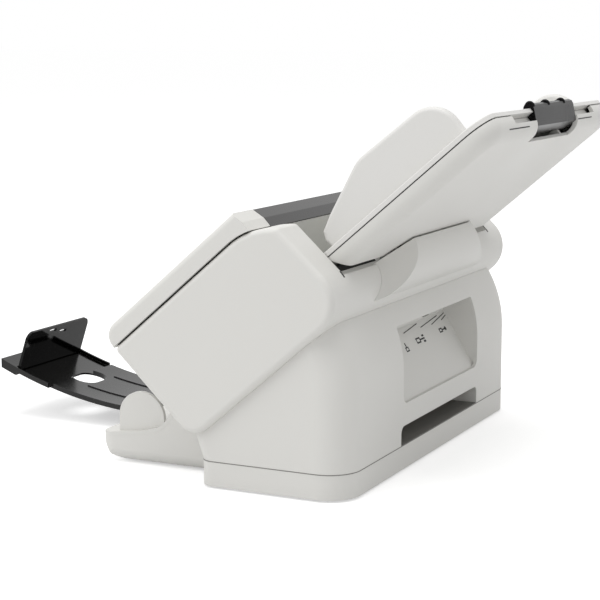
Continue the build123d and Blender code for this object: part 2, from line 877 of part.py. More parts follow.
# Rear hood: the barrel that carries the feed tray's hinge, its slanted ends following the notch
hood_ends = hood_plan(0) - hood_plan(shell_wall)
hood_ends = hood_ends & bar(-tray_half, tray_half, tray_hinge_u, tray_hinge_n, hood_radius)
hood_ends = hood_ends & along(
    -tray_half,
    tray_half,
    (-hinge_pocket_reach + 0.5, -hood_radius * 2),
    (hood_radius * 2, -hood_radius * 2),
    (hood_radius * 2, hood_top_n),
    (-hinge_pocket_reach + 0.5, hood_top_n),
)
with BuildPart() as hinge_hood:
    with BuildSketch(path_plane(-tray_half)):
        with Locations((tray_hinge_u, tray_hinge_n)):
            Circle(hood_radius)
            Circle(hood_radius - shell_wall, mode=Mode.SUBTRACT)
        Polygon(
            (-hinge_pocket_reach + 0.3, -hood_radius * 2),
            (hood_radius * 2, -hood_radius * 2),
            (hood_radius * 2, hood_top_n),
            (-hinge_pocket_reach + 0.3, hood_top_n),
            align=None,
            mode=Mode.INTERSECT,
        )
        Polygon(
            (-hinge_pocket_reach + 0.5, hood_top_n - shell_wall),
            (tray_hinge_u + hood_radius - 1.5, hood_top_n - shell_wall),
            (tray_hinge_u + hood_radius - 1.5, hood_top_n),
            (-hinge_pocket_reach + 0.5, hood_top_n),
            align=None,
        )
    extrude(amount=2 * tray_half)
    add(hood_plan(0), mode=Mode.INTERSECT)
    add(hood_ends)
    for boss in both_sides(
        bar(hood_half - boss_length, arm_low_x - arm_room_x, tray_hinge_u, tray_hinge_n, boss_r)
    ):
        add(boss)
    add(body_block - channel_air, mode=Mode.SUBTRACT)
    for arm_room in both_sides(
        bar(arm_low_x - arm_room_x, arm_high_x + arm_room_x, tray_hinge_u, tray_hinge_n, arm_r + 0.8)
    ):
        add(arm_room, mode=Mode.SUBTRACT)
    for pin_hole in both_sides(
        bar(arm_low_x - tray_pin_grip, arm_low_x, tray_hinge_u, tray_hinge_n, tray_pin_r)
    ):
        add(pin_hole, mode=Mode.SUBTRACT)
save(hinge_hood.part, "hinge_hood")

# Lower paper guide with its windows and the nose that overhangs the tray's hinge pocket
with BuildPart() as body_guide:
    add(
        along(
            seat_gap - channel_half,
            channel_half - seat_gap,
            (bottom_u(0) + 0.2, 0),
            (bottom_u(0) + 0.2, seat_gap - guide_sink),
            (-1.0, seat_gap - guide_sink),
            (-1.0, 0),
        )
    )
    add(bar(-channel_half, channel_half, tray_hinge_u, tray_hinge_n, nose_clear_r), mode=Mode.SUBTRACT)
    with BuildSketch(slope_plane(-guide_sink - 1)):
        with Locations(*[(x, feed_roller_u) for x in feed_tyre_places]):
            Rectangle(feed_tyre_width + 3, 2 * sqrt(feed_roller_r**2 - (feed_roller_r - 3.4) ** 2) + 2)
        for u in drive_roller_us:
            with Locations(*[(x, u) for x in tyre_places]):
                Rectangle(tyre_width + 3, 2 * sqrt(drive_roller_r**2 - (drive_roller_r - 3.4) ** 2) + 2)
        with Locations((0, sensor_u)):
            Rectangle(2 * glass_half + 0.4, glass_width + 0.4)
    extrude(amount=guide_sink + 2, mode=Mode.SUBTRACT)
save(body_guide.part, "body_guide")

# Lower image sensor: a long carrier under the guide, reaching both cheeks, and its glass
with BuildPart() as lower_sensor:
    with BuildSketch(slope_plane(-guide_sink - sensor_depth)):
        with Locations((0, sensor_u)):
            Rectangle(2 * (channel_half - seat_gap), sensor_width)
    extrude(amount=sensor_depth)
    with BuildSketch(slope_plane(-guide_sink - sensor_depth + 2)):
        with Locations((0, sensor_u)):
            Rectangle(2 * glass_half - 6, sensor_width - 7)
    extrude(amount=sensor_depth, mode=Mode.SUBTRACT)
save(lower_sensor.part, "lower_sensor")
with BuildPart() as lower_glass:
    with BuildSketch(slope_plane(-0.1)):
        with Locations((0, sensor_u)):
            Rectangle(2 * glass_half, glass_width)
    extrude(amount=0.1 - guide_sink)
save(lower_glass.part, "lower_glass")

# Roller shafts under the paper with their tyres, and the bushes in the cheeks
shaft_names = ("feed_shaft", "drive_shaft", "eject_shaft")
tyre_names = ("feed_tyres", "drive_tyres", "eject_tyres")
for name, (u, n, _) in zip(shaft_names, shafts):
    with BuildPart() as shaft:
        add(bar(-shaft_half, shaft_half, u, n, shaft_r))
    save(shaft.part, name)
for name, (u, n, radius) in zip(tyre_names, shafts):
    width = feed_tyre_width if name == "feed_tyres" else tyre_width
    places = feed_tyre_places if name == "feed_tyres" else tyre_places
    with BuildPart() as tyres:
        for x in places:
            add(bar(x - width / 2, x + width / 2, u, n, radius) - bar(x - width, x + width, u, n, shaft_r))
    save(tyres.part, name)
with BuildPart() as shaft_bushes:
    for u, n, _ in shafts:
        ring = bar(channel_half + 0.2, channel_half + shell_wall + 1, u, n, bush_r)
        for bush in both_sides(ring - bar(0, 2 * channel_half, u, n, shaft_r + running_gap)):
            add(bush)
save(shaft_bushes.part, "shaft_bushes")

# Front cover: outer shell, cut back between the cheeks for the dark strip
strip_low_u = strip_top_u - strip_reach
with BuildPart() as cover_shell:
    add(cover_block)
    add(hollow - past_cover_end(shell_wall), mode=Mode.SUBTRACT)
    add(
        along(
            -strip_half - frame_gap,
            strip_half + frame_gap,
            (strip_low_u - frame_gap, 0),
            (block_width / 4, 0),
            (block_width / 4, block_width),
            (strip_low_u - frame_gap, block_width),
        ),
        mode=Mode.SUBTRACT,
    )
    for x in (strip_half + frame_gap, -strip_half - frame_gap - shell_wall):
        end_wall = between(cover_block, x, x + shell_wall)
        add(end_wall & along(x, x + shell_wall, (-36, 0), (block_width, 0), (block_width, 90), (-36, 90)))
    with BuildSketch(slope_plane(cover_face_n - panel_sink)):
        with Locations((panel_x, panel_u)):
            RectangleRounded(panel_width + 0.4, panel_length + 0.4, 3.2)
    extrude(amount=panel_sink + 1, mode=Mode.SUBTRACT)
    with BuildSketch(slope_plane(cover_face_n - shell_wall - 1)):
        for x, u, radius in key_places:
            with Locations((x, u)):
                Circle(radius + 0.5)
    extrude(amount=shell_wall + 2, mode=Mode.SUBTRACT)
save(cover_shell.part, "cover_shell")

with BuildPart() as top_strip:
    with BuildSketch(path_plane(-strip_half)):
        Polygon(
            (strip_low_u, cover_face_n),
            (strip_top_u - 3.0, cover_face_n - 0.2),
            (strip_top_u - 0.3, strip_edge_n),
            (strip_top_u, strip_low_n),
            (strip_top_u - strip_wall, strip_low_n),
            (strip_top_u - strip_wall - 0.3, strip_edge_n - 0.5),
            (strip_top_u - strip_wall - 2.2, cover_face_n - strip_wall),
            (strip_low_u, cover_face_n - strip_wall),
            align=None,
        )
    extrude(amount=2 * strip_half)
save(top_strip.part, "top_strip")

# Operator panel on the front face: a glossy plate with a display window and sprung keys
with BuildPart() as operator_panel:
    with BuildSketch(slope_plane(cover_face_n - panel_sink)):
        with Locations((panel_x, panel_u)):
            RectangleRounded(panel_width, panel_length, 3)
    extrude(amount=panel_sink + panel_rise)
    with BuildSketch(slope_plane(cover_face_n - panel_sink - 1)):
        for x, u, radius in key_places:
            with Locations((x, u)):
                Circle(radius + 0.3)
        with Locations((display_x, panel_u)):
            RectangleRounded(display_width + 0.3, display_length + 0.3, 1.2)
    extrude(amount=panel_sink + panel_rise + 2, mode=Mode.SUBTRACT)
save(operator_panel.part, "operator_panel")
with BuildPart() as display_window:
    with BuildSketch(slope_plane(cover_face_n - panel_sink)):
        with Locations((display_x, panel_u)):
            RectangleRounded(display_width, display_length, 1)
    extrude(amount=panel_sink + panel_rise - 0.2)
save(display_window.part, "display_window")
for name, (x, u, radius) in zip(key_names, key_places):
    with BuildPart() as key:
        with BuildSketch(slope_plane(key_board_n + key_travel + 0.5)):
            with Locations((x, u)):
                Circle(2.0)
        extrude(amount=cover_face_n - shell_wall - key_board_n - key_travel - 0.5)
        with BuildSketch(slope_plane(cover_face_n - shell_wall)):
            with Locations((x, u)):
                Circle(radius)
        extrude(amount=shell_wall + panel_rise + key_proud)
        fillet(key.edges().group_by(lambda e: round(height_over_path(e.center()), 2))[-1], radius=0.6)
    save(key.part, name)
with BuildPart() as key_board:
    with BuildSketch(slope_plane(key_board_n - board_thick)):
        with Locations((panel_x, panel_u)):
            Rectangle(panel_width - 4, panel_length - 2)
    extrude(amount=board_thick)
    with BuildSketch(slope_plane(key_board_n)):
        with Locations(*board_pillars):
            Circle(board_pillar_r)
    extrude(amount=cover_face_n - shell_wall - key_board_n)
save(key_board.part, "key_board")

# Cover frame: the inner moulding that closes the paper path from above
frame_face = [
    (bottom_u(path_gap) + 0.5, path_gap),
    (-60.0, path_gap),
    (-52.0, path_gap + 1.2),
    (-40.0, 9.0),
    (strip_top_u - 0.7, strip_low_n - 0.5),
    (strip_top_u - 0.7, strip_low_n - 0.1),
    (strip_top_u - strip_wall - 0.6, strip_low_n - 0.1),
    (strip_top_u - strip_wall - 3.0, 60.0),
    (bottom_u(60.0) + 0.5, 60.0),
]
with BuildPart() as cover_frame:
    with BuildSketch(path_plane(-frame_half)):
        Polygon(*frame_face, align=None)
    extrude(amount=2 * frame_half)
    with BuildSketch(path_plane(-frame_half + frame_wall)):
        Polygon(*frame_face, align=None)
        offset(amount=-frame_wall)
    extrude(amount=2 * (frame_half - frame_wall), mode=Mode.SUBTRACT)
    with BuildSketch(slope_plane(seam_n + seam_gap / 2 + frame_rise)):
        Rectangle(2 * block_width, 2 * block_width)
    extrude(amount=60, mode=Mode.SUBTRACT)
    boss_start = frame_half - frame_boss
    for hinge_boss in both_sides(bar(boss_start, frame_half, cover_hinge_u, cover_hinge_n, frame_boss)):
        add(hinge_boss)
    with BuildSketch(slope_plane(path_gap - 1)):
        with Locations((0, feed_roller_u)):
            Rectangle(2 * separation_half + 3, 2 * separation_r + 3)
        for u in drive_roller_us:
            with Locations(*[(x, u) for x in tyre_places]):
                Rectangle(tyre_width + 3, 2 * pinch_roller_r + 1)
        with Locations((0, sensor_u)):
            Rectangle(2 * glass_half + 0.4, glass_width + 0.4)
    extrude(amount=slot_reach, mode=Mode.SUBTRACT)
    add(cover_shell.part, mode=Mode.SUBTRACT)
    add(top_strip.part, mode=Mode.SUBTRACT)
    for u, n, radius in cover_shafts:
        bore_r = pinch_shaft_r + running_gap
        for hole in both_sides(bar(frame_half - frame_wall - 1, frame_half + 1, u, n, bore_r)):
            add(hole, mode=Mode.SUBTRACT)
    bore_r = cover_pin_r + running_gap
    for hole in both_sides(bar(boss_start - 1, frame_half + 1, cover_hinge_u, cover_hinge_n, bore_r)):
        add(hole, mode=Mode.SUBTRACT)
save(cover_frame.solids().sort_by(SortBy.VOLUME)[-1], "cover_frame")

with BuildPart() as cover_pins:
    pin_end = channel_half + shell_wall
    for pin in both_sides(bar(boss_start, pin_end, cover_hinge_u, cover_hinge_n, cover_pin_r)):
        add(pin)
save(cover_pins.part, "cover_pins")

with BuildPart() as upper_sensor:
    with BuildSketch(slope_plane(path_gap + frame_wall + 0.1)):
        with Locations((0, sensor_u)):
            Rectangle(2 * sensor_half, sensor_width)
    extrude(amount=sensor_depth)
    with BuildSketch(slope_plane(path_gap + frame_wall + 0.1)):
        with Locations((0, sensor_u)):
            Rectangle(2 * glass_half - 6, sensor_width - 7)
    extrude(amount=sensor_depth - 2, mode=Mode.SUBTRACT)
save(upper_sensor.part, "upper_sensor")
with BuildPart() as upper_glass:
    with BuildSketch(slope_plane(path_gap + 0.1)):
        with Locations((0, sensor_u)):
            Rectangle(2 * glass_half, glass_width)
    extrude(amount=frame_wall)
save(upper_glass.part, "upper_glass")

cover_roller_names = ("separation_roller", "pinch_rollers", "exit_rollers")
for name, (u, n, radius) in zip(cover_roller_names, cover_shafts):
    half = frame_half - 0.3
    with BuildPart() as roller:
        add(bar(-half, half, u, n, pinch_shaft_r))
        if name == "separation_roller":
            add(bar(-separation_half, separation_half, u, n, radius))
        else:
            for x in tyre_places:
                add(bar(x - tyre_width / 2, x + tyre_width / 2, u, n, radius))
    save(roller.part, name)

# Feed tray plate with the slots for the side guides and the two hinge arms
rack_top_n = -tray_plate_wall - seat_gap
rack_low_n = rack_top_n - rack_thick
pitch_r = pinion_teeth * rack_module / 2
rack_line_us = (pinion_u - pitch_r, pinion_u + pitch_r)
stem_shift = 1.2 * rack_module + rack_body / 2
stem_us = (rack_line_us[0] - stem_shift, rack_line_us[1] + stem_shift)
stem_x = guide_outer - guide_thick / 2
with BuildPart() as tray_plate:
    add(tray_outline_solid(0, 0, -tray_plate_wall))
    fillet(tray_plate.edges().filter_by(lambda e: height_over_path(e.center()) > -0.01), radius=0.8)
    for side, stem_u in zip((1, -1), stem_us):
        slot_low = stem_x - guide_travel - stem_width / 2 - 0.6
        slot_high = stem_x + stem_width / 2 + 0.6
        with BuildSketch(slope_plane(-tray_plate_wall - 1)):
            with Locations((side * (slot_low + slot_high) / 2, stem_u)):
                RectangleRounded(slot_high - slot_low, rack_body + 0.8, 1)
        extrude(amount=tray_plate_wall + 2, mode=Mode.SUBTRACT)
    for arm in both_sides(
        bar(arm_low_x, arm_high_x, tray_hinge_u, tray_hinge_n, arm_r)
        + along(
            arm_low_x,
            arm_high_x,
            (tray_hinge_u - arm_r + 1.2, -tray_plate_wall),
            (tray_hinge_u - arm_r, tray_hinge_n),
            (tray_hinge_u + arm_r, tray_hinge_n),
            (tray_hinge_u + arm_r + 3, -tray_plate_wall),
        )
    ):
        add(arm)
    arm_bore_r = tray_pin_r + running_gap
    for hole in both_sides(bar(arm_low_x - 1, arm_high_x + 1, tray_hinge_u, tray_hinge_n, arm_bore_r)):
        add(hole, mode=Mode.SUBTRACT)
save(tray_plate.part, "tray_plate")

with BuildPart() as tray_pins:
    pin_start = arm_low_x - tray_pin_grip
    for pin in both_sides(bar(pin_start, arm_high_x, tray_hinge_u, tray_hinge_n, tray_pin_r)):
        add(pin)
save(tray_pins.part, "tray_pins")

# Feed tray shell: bowl with rails for the drawer and the racks, and the drawer's mouth
rail_top_n = rack_top_n - extension_thick - seat_gap
with BuildPart() as tray_shell:
    add(tray_bowl(0, -tray_plate_wall))
    add(tray_bowl(tray_wall, -tray_plate_wall + 1), mode=Mode.SUBTRACT)
    groove_n = -tray_plate_wall - rim_groove
    rim_outer = tray_outline_solid(-1, -tray_plate_wall, groove_n)
    rim_inner = tray_outline_solid(tray_rim + rim_groove, -tray_plate_wall, groove_n)
    add(rim_outer - rim_inner, mode=Mode.SUBTRACT)
    with BuildSketch(slope_plane(-tray_thickness + tray_wall - 0.2)):
        with Locations(*[(x, (extension_low_u + tray_length) / 2) for x in (-70, -30, 30, 70)]):
            Rectangle(3, tray_length - extension_low_u - 8)
    extrude(amount=rail_top_n + tray_thickness - tray_wall + 0.2)
    with BuildSketch(slope_plane(-tray_thickness + tray_wall - 0.2)):
        for u in rack_line_us:
            away = 1 if u > pinion_u else -1
            with Locations(*[(x, u + away * stem_shift) for x in (-90, -60, 60, 90)]):
                Rectangle(8, rack_body)
        with Locations((0, pinion_u)):
            Circle(5)
    extrude(amount=rack_low_n - seat_gap + tray_thickness - tray_wall + 0.2)
    with BuildSketch(slope_plane(-tray_thickness + tray_wall - 0.2)):
        with Locations((0, pinion_u)):
            Circle(pinion_pin_r)
    extrude(amount=rack_top_n + tray_thickness - tray_wall)
    with BuildSketch(slope_plane(rail_top_n)):
        with Locations((0, tray_length)):
            Rectangle(2 * extension_half + 1, 12)
    extrude(amount=10, mode=Mode.SUBTRACT)
    with BuildSketch(slope_plane(-tray_thickness - 1)):
        with Locations((0, tray_length)):
            Rectangle(2 * grip_half + 2, 2 * grip_reach)
    extrude(amount=tray_thickness + 1, mode=Mode.SUBTRACT)
save(tray_shell.part, "tray_shell")

# Side guides on their racks, with the pinion that keeps them centred
guide_shape = [
    (5.6, seat_gap),
    (4.3, 6.0),
    (6.6, 11.4),
    (17.0, 16.6),
    (52.0, 30.6),
    (116.0, 28.0),
    (116.0, seat_gap),
]
guide_rounds = {3: 6.0, 4: 22.0, 5: 19.0}
for side, name, rack_name, line_u, stem_u in (
    (1, "right_guide", "right_rack", rack_line_us[0], stem_us[0]),
    (-1, "left_guide", "left_rack", rack_line_us[1], stem_us[1]),
):
    inner = min(side * guide_outer, side * (guide_outer - guide_thick))
    with BuildPart() as guide:
        with BuildSketch(path_plane(inner)) as fin:
            Polygon(*guide_shape, align=None)
            for index, radius in guide_rounds.items():
                fillet(fin.vertices().sort_by_distance((*guide_shape[index], 0))[0], radius=radius)
        extrude(amount=guide_thick)
        fins = guide.faces().sort_by(Axis.X)
        rims = (fins[0].edges() + fins[-1].edges()).filter_by(lambda e: height_over_path(e.center()) > 1)
        fillet(rims, radius=guide_edge)
        with BuildSketch(slope_plane(rack_top_n)):
            with Locations((side * stem_x, stem_u)):
                Rectangle(stem_width, rack_body)
        extrude(amount=2 * seat_gap - rack_top_n)
    save(guide.part, name)
    rack_end = stem_x + stem_width / 2
    rack_points = rack_outline(-rack_overlap, rack_end, guide_travel + rack_overlap, rack_body)
    with BuildPart() as rack:
        with BuildSketch(slope_plane(rack_low_n)):
            Polygon(*[(side * x, line_u + side * y) for x, y in rack_points], align=None)
        extrude(amount=rack_thick)
    save(rack.part, rack_name)
with BuildPart() as guide_pinion:
    with BuildSketch(slope_plane(rack_low_n)):
        Polygon(*[(x, y + pinion_u) for x, y in gear_outline(pinion_teeth, rack_module)], align=None)
        with Locations((0, pinion_u)):
            Circle(pinion_pin_r + running_gap, mode=Mode.SUBTRACT)
    extrude(amount=rack_thick)
save(guide_pinion.part, "guide_pinion")

# Extension drawer and its black finger grip
with BuildPart() as tray_extension:
    with BuildSketch(slope_plane(rack_top_n)):
        with Locations((0, (extension_low_u + drawer_end_u) / 2)):
            Rectangle(2 * extension_half, drawer_end_u - extension_low_u)
    extrude(amount=-extension_thick)
    with BuildSketch(slope_plane(rack_top_n - 2)):
        with Locations((0, (extension_low_u + drawer_end_u) / 2)):
            Rectangle(2 * extension_half - 6, drawer_end_u - extension_low_u - 6)
    extrude(amount=-extension_thick, mode=Mode.SUBTRACT)
save(tray_extension.part, "tray_extension")
with BuildPart() as extension_grip:
    with BuildSketch(path_plane(-grip_half)) as hook:
        Polygon(
            (tray_length - grip_reach, seat_gap),
            (tray_length + seat_gap, seat_gap),
            (tray_length + seat_gap, rack_top_n),
            (drawer_end_u + seat_gap, rack_top_n),
            (drawer_end_u + seat_gap, rack_top_n - extension_thick),
            (drawer_end_u - 7, rack_top_n - extension_thick),
            (drawer_end_u - 7, grip_low_n),
            (drawer_end_u + 1.5, grip_low_n),
            (drawer_end_u + 3, grip_low_n + grip_wall),
            (tray_length + grip_wall - 0.3, -2),
            (tray_length + grip_wall + 0.3, seat_gap),
            (tray_length + grip_wall - 0.7, grip_wall),
            (tray_length - grip_reach, grip_wall),
            align=None,
        )
    extrude(amount=2 * grip_half)
    for x in (-30, 0, 30):
        with BuildSketch(path_plane(x - 4)):
            with Locations((tray_length - 3, grip_wall - 0.6)):
                Circle(3.4)
            Polygon(
                (tray_length - 12, seat_gap),
                (tray_length + 8, seat_gap),
                (tray_length + 8, seat_gap + 10),
                (tray_length - 12, seat_gap + 10),
                align=None,
                mode=Mode.INTERSECT,
            )
        extrude(amount=8)
save(extension_grip.part, "extension_grip")

# Foot: lower shell, its bent cover and the two side plates of the paper output
foot_outline = (
    (-base_depth + 6, pad_height),
    (-174, pad_height),
    (-184, 5),
    (-192.5, 15.5),
    (foot_tip_y - 1, 20),
    (foot_tip_y - 1, 66),
    (-base_depth + 6, 66),
)
foot_inner = (
    (-base_depth - foot_wall, pad_height + foot_wall),
    (-173.3, pad_height + foot_wall),
    (-182.3, 7.2),
    (-190.6, 17),
    (-190.6, 66),
    (-128.5, 66),
    (-128.5, 49),
    (-112.5, 35),
    (-base_depth - foot_wall - 6.4, 33.5),
    (-base_depth - foot_wall, 16),
)
foot_solid = upright(-foot_half, foot_half, *foot_outline) & foot_plan(0, 66) & foot_section(0)
foot_solid = foot_solid - body_block - pedestal_block - plinth_solid(0, 0, plinth_height)
tray_path = arc_band(
    -eject_half - 1.5,
    eject_half + 1.5,
    eject_arc_r - 1.6,
    eject_arc_r + eject_thick + eject_gap,
    foot_tip_y - 10,
    -base_depth - foot_wall,
)
rib_top = arc_band(-foot_half, foot_half, 10, eject_arc_r + eject_thick + eject_gap, foot_tip_y, 0)
with BuildPart() as foot_shell:
    add(foot_solid & under_foot_line(foot_seam, 2.4))
    add(
        upright(-foot_half + foot_wall, foot_half - foot_wall, *foot_inner)
        & foot_plan(foot_wall, 66)
        & foot_section(foot_wall),
        mode=Mode.SUBTRACT,
    )
    ribs = upright(
        -foot_rib_x - 2, -foot_rib_x + 2, (-186, 3), (-186, 25), (-110, 25), (-110, 3)
    )
    for rib in both_sides(ribs):
        add((rib & foot_solid) - rib_top)
    add(tray_path, mode=Mode.SUBTRACT)
save(foot_shell.part, "foot_shell")

with BuildPart() as foot_cover:
    add(foot_solid & under_foot_line(foot_top, 0))
    add(under_foot_line(foot_seam, 2.4), mode=Mode.SUBTRACT)
save(foot_cover.part, "foot_cover")

with BuildPart() as plate_pair:
    with BuildSketch(side_plane(plate_half - foot_wall)):
        with Locations((plate_y, plate_z)):
            Circle(plate_r)
        with Locations((plate_y, plate_z - plate_r / 2)):
            Rectangle(2 * plate_r, plate_r)
    extrude(amount=foot_wall)
    add(under_foot_line(foot_top, 0), mode=Mode.SUBTRACT)
    add(body_block, mode=Mode.SUBTRACT)
right_plate, left_plate = both_sides(plate_pair.part)
save(right_plate, "right_side_plate")
save(left_plate, "left_side_plate")

# Eject tray, curved about a point high above it, with its handle, pocket and finger hole
pin_r = eject_arc_r + stopper_sink
pin_z = eject_top_z + eject_arc_r - sqrt(pin_r**2 - (eject_arc_y - stopper_y) ** 2)
with BuildPart() as eject_tray:
    tray_low_r = eject_arc_r + eject_thick
    strip = eject_strip_half
    add(arc_band(-eject_half, eject_half, eject_arc_r, tray_low_r, eject_front_y, eject_step_y))
    add(arc_band(-strip, strip, eject_arc_r, tray_low_r, eject_step_y, eject_rear_y))
    for x in (-ridge_x, ridge_x):
        low_x, high_x = x - ridge_width / 2, x + ridge_width / 2
        ridge_r = eject_arc_r - ridge_rise
        add(arc_band(low_x, high_x, ridge_r, eject_arc_r + 0.5, ridge_near_y, ridge_far_y))
    add(
        arc_band(
            -eject_half,
            eject_half,
            eject_arc_r + eject_thick - 0.5,
            eject_arc_r + handle_thick,
            eject_front_y,
            handle_y,
        )
    )
    add(
        arc_band(
            -stopper_half - 0.5,
            stopper_half + 0.5,
            eject_arc_r - 5,
            eject_arc_r + pocket_depth,
            handle_y,
            pocket_far_y,
        ),
        mode=Mode.SUBTRACT,
    )
    with BuildSketch(level_plane(0)):
        with Locations((0, finger_hole_y)):
            SlotOverall(finger_hole_width, finger_hole_length)
    extrude(amount=80, mode=Mode.SUBTRACT)
    for side in (-1, 1):
        with BuildSketch(side_plane(side * stopper_half + min(0, side) * 1.1)):
            with Locations((stopper_y, pin_z)):
                Circle(stopper_pin_r + running_gap)
        extrude(amount=1.1, mode=Mode.SUBTRACT)
save(eject_tray.part, "eject_tray")

# Stopper: a ribbed flap on two stub pins in the tray's end pocket
lean = radians(stopper_lean)
stopper_foot = (0, rear_y + stopper_y, pin_z)
stopper_plane = Plane(origin=stopper_foot, x_dir=(1, 0, 0), z_dir=(0, -cos(lean), sin(lean)))
with BuildPart() as stopper:
    with BuildSketch(stopper_plane.offset(-stopper_thick / 2)) as flap:
        Polygon(
            (-stopper_half, 0),
            (stopper_half, 0),
            (stopper_half, stopper_height),
            (-stopper_half, stopper_height),
            align=None,
        )
        fillet(flap.vertices().group_by(Axis.Y)[-1], radius=6)
    extrude(amount=stopper_thick)
    with BuildSketch(side_plane(-stopper_half - 0.9)):
        with Locations((stopper_y, pin_z)):
            Circle(stopper_pin_r)
    extrude(amount=2 * stopper_half + 1.8)
save(stopper.part, "stopper")
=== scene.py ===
"""Dresses the desktop document scanner.

It gives the moulded parts their finishes, adds joint lines, black painted shade in gaps and
recesses and small printed marks, and sets up a pale studio with the camera where the photograph was
taken from.
"""

import logging
import math
from collections.abc import Callable
from dataclasses import dataclass, field
from enum import Enum

import bmesh
import bpy
from mathutils import Matrix, Vector


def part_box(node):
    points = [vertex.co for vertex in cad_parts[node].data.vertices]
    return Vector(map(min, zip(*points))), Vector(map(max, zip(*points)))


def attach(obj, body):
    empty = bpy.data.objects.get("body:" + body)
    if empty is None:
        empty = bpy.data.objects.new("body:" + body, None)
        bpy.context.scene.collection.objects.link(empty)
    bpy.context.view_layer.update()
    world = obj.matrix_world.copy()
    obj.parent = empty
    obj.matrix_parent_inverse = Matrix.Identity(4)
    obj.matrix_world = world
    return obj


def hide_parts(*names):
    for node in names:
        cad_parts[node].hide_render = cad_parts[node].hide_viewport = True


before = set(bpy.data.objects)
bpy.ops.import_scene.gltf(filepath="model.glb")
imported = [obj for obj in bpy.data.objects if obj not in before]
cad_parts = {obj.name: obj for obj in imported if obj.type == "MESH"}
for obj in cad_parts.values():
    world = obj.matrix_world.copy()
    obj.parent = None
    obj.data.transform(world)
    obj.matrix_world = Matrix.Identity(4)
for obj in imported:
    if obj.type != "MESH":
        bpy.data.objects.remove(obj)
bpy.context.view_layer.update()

log = logging.getLogger("document_scanner")

MM = 0.001
WELD = 0.01 * MM
CORNER_STEPS = 4
RING_STEPS = 12
PATH_SLOPE = math.radians(40.6)
REAR_Y = 0.1241465
PATH_LOW_Y = -0.0271
PATH_LOW_Z = 0.148
ACROSS = Vector((1, 0, 0))
UPRIGHT = Vector((0, 0, 1))
UP_PATH = Vector((0, math.cos(PATH_SLOPE), math.sin(PATH_SLOPE)))
OFF_PATH = Vector((0, -math.sin(PATH_SLOPE), math.cos(PATH_SLOPE)))


def linear_from_hex(code: str) -> tuple[float, float, float, float]:
    """Turns an sRGB hex colour to linear values.

    Args:
        code: Six hex digits after a #.

    Returns:
        Red, green and blue, linear, and a full alpha.
    """
    digits = code.lstrip("#")
    parts = [int(digits[i : i + 2], 16) / 255 for i in (0, 2, 4)]
    flat = [c / 12.92 if c <= 0.04045 else ((c + 0.055) / 1.055) ** 2.4 for c in parts]
    return (*flat, 1.0)


def add_node(
    tree: bpy.types.NodeTree,
    kind: str,
    settings: dict[str, object] | None = None,
    inputs: dict[str, object] | None = None,
) -> bpy.types.Node:
    """Adds one shader node with its settings, socket values and links.

    Args:
        tree: Node tree that gets the node.
        kind: Blender's name for the node type.
        settings: Node properties by name.
        inputs: Socket values by socket name; a value that is a socket is linked.

    Returns:
        The new node.
    """
    node = tree.nodes.new(kind)
    for key, value in (settings or {}).items():
        setattr(node, key, value)
    for key, value in (inputs or {}).items():
        socket = node.inputs[key] if isinstance(key, str) else node.inputs[int(key)]
        if isinstance(value, bpy.types.NodeSocket):
            tree.links.new(value, socket)
        else:
            socket.default_value = value
    return node


def path_point(u: float, n: float) -> Vector:
    """A point on the middle plane, given along the paper path, in metres.

    Args:
        u: Distance up the path from the feed tray's low edge.
        n: Distance square to the path, towards the cover.

    Returns:
        The point in the frame.
    """
    return Vector((0, REAR_Y + PATH_LOW_Y, PATH_LOW_Z)) + UP_PATH * u + OFF_PATH * n


def off_path(point: Vector) -> float:
    """How far a point stands off the plane of the paper path.

    Args:
        point: The point.

    Returns:
        Its distance towards the cover, in metres.
    """
    return (point - path_point(0, 0)).dot(OFF_PATH)


def start_material(
    name: str,
) -> tuple[bpy.types.Material, bpy.types.NodeTree, bpy.types.NodeSocket]:
    """Starts a material that has its pattern in the object's own millimetres.

    Args:
        name: Name of the real material.

    Returns:
        The material, its node tree and the Object coordinates.
    """
    material = bpy.data.materials.new(name)
    material.use_nodes = True
    tree = material.node_tree
    return material, tree, add_node(tree, "ShaderNodeTexCoord").outputs["Object"]


def set_inputs(shader: bpy.types.Node, values: dict[str, object]) -> None:
    """Sets sockets of a shader to even values.

    Args:
        shader: The shader node.
        values: Values by socket name.
    """
    for name, value in values.items():
        shader.inputs[name].default_value = value


def per_mm(size_mm: float) -> float:
    """The texture scale that repeats once in a real size.

    Args:
        size_mm: The size, in millimetres.

    Returns:
        Repeats in a metre.
    """
    return 1.0 / (size_mm * MM)


class Relief(Enum):
    """How a moulded surface was textured in its mould."""

    SPARK = "spark"
    POLISHED = "polished"
    FINE_MATT = "fine_matt"


ABS_IOR = 1.53
GLASS_IOR = 1.52
COAT_ROUGHNESS = 0.04
# Slow change of tint across a moulding, about one patch in 70 mm
MOTTLE_SCALE = 14.0
# How much a surface's gloss wanders, less where the tool was polished
ROUGH_SPREAD = {Relief.SPARK: 0.05, Relief.FINE_MATT: 0.05, Relief.POLISHED: 0.015}


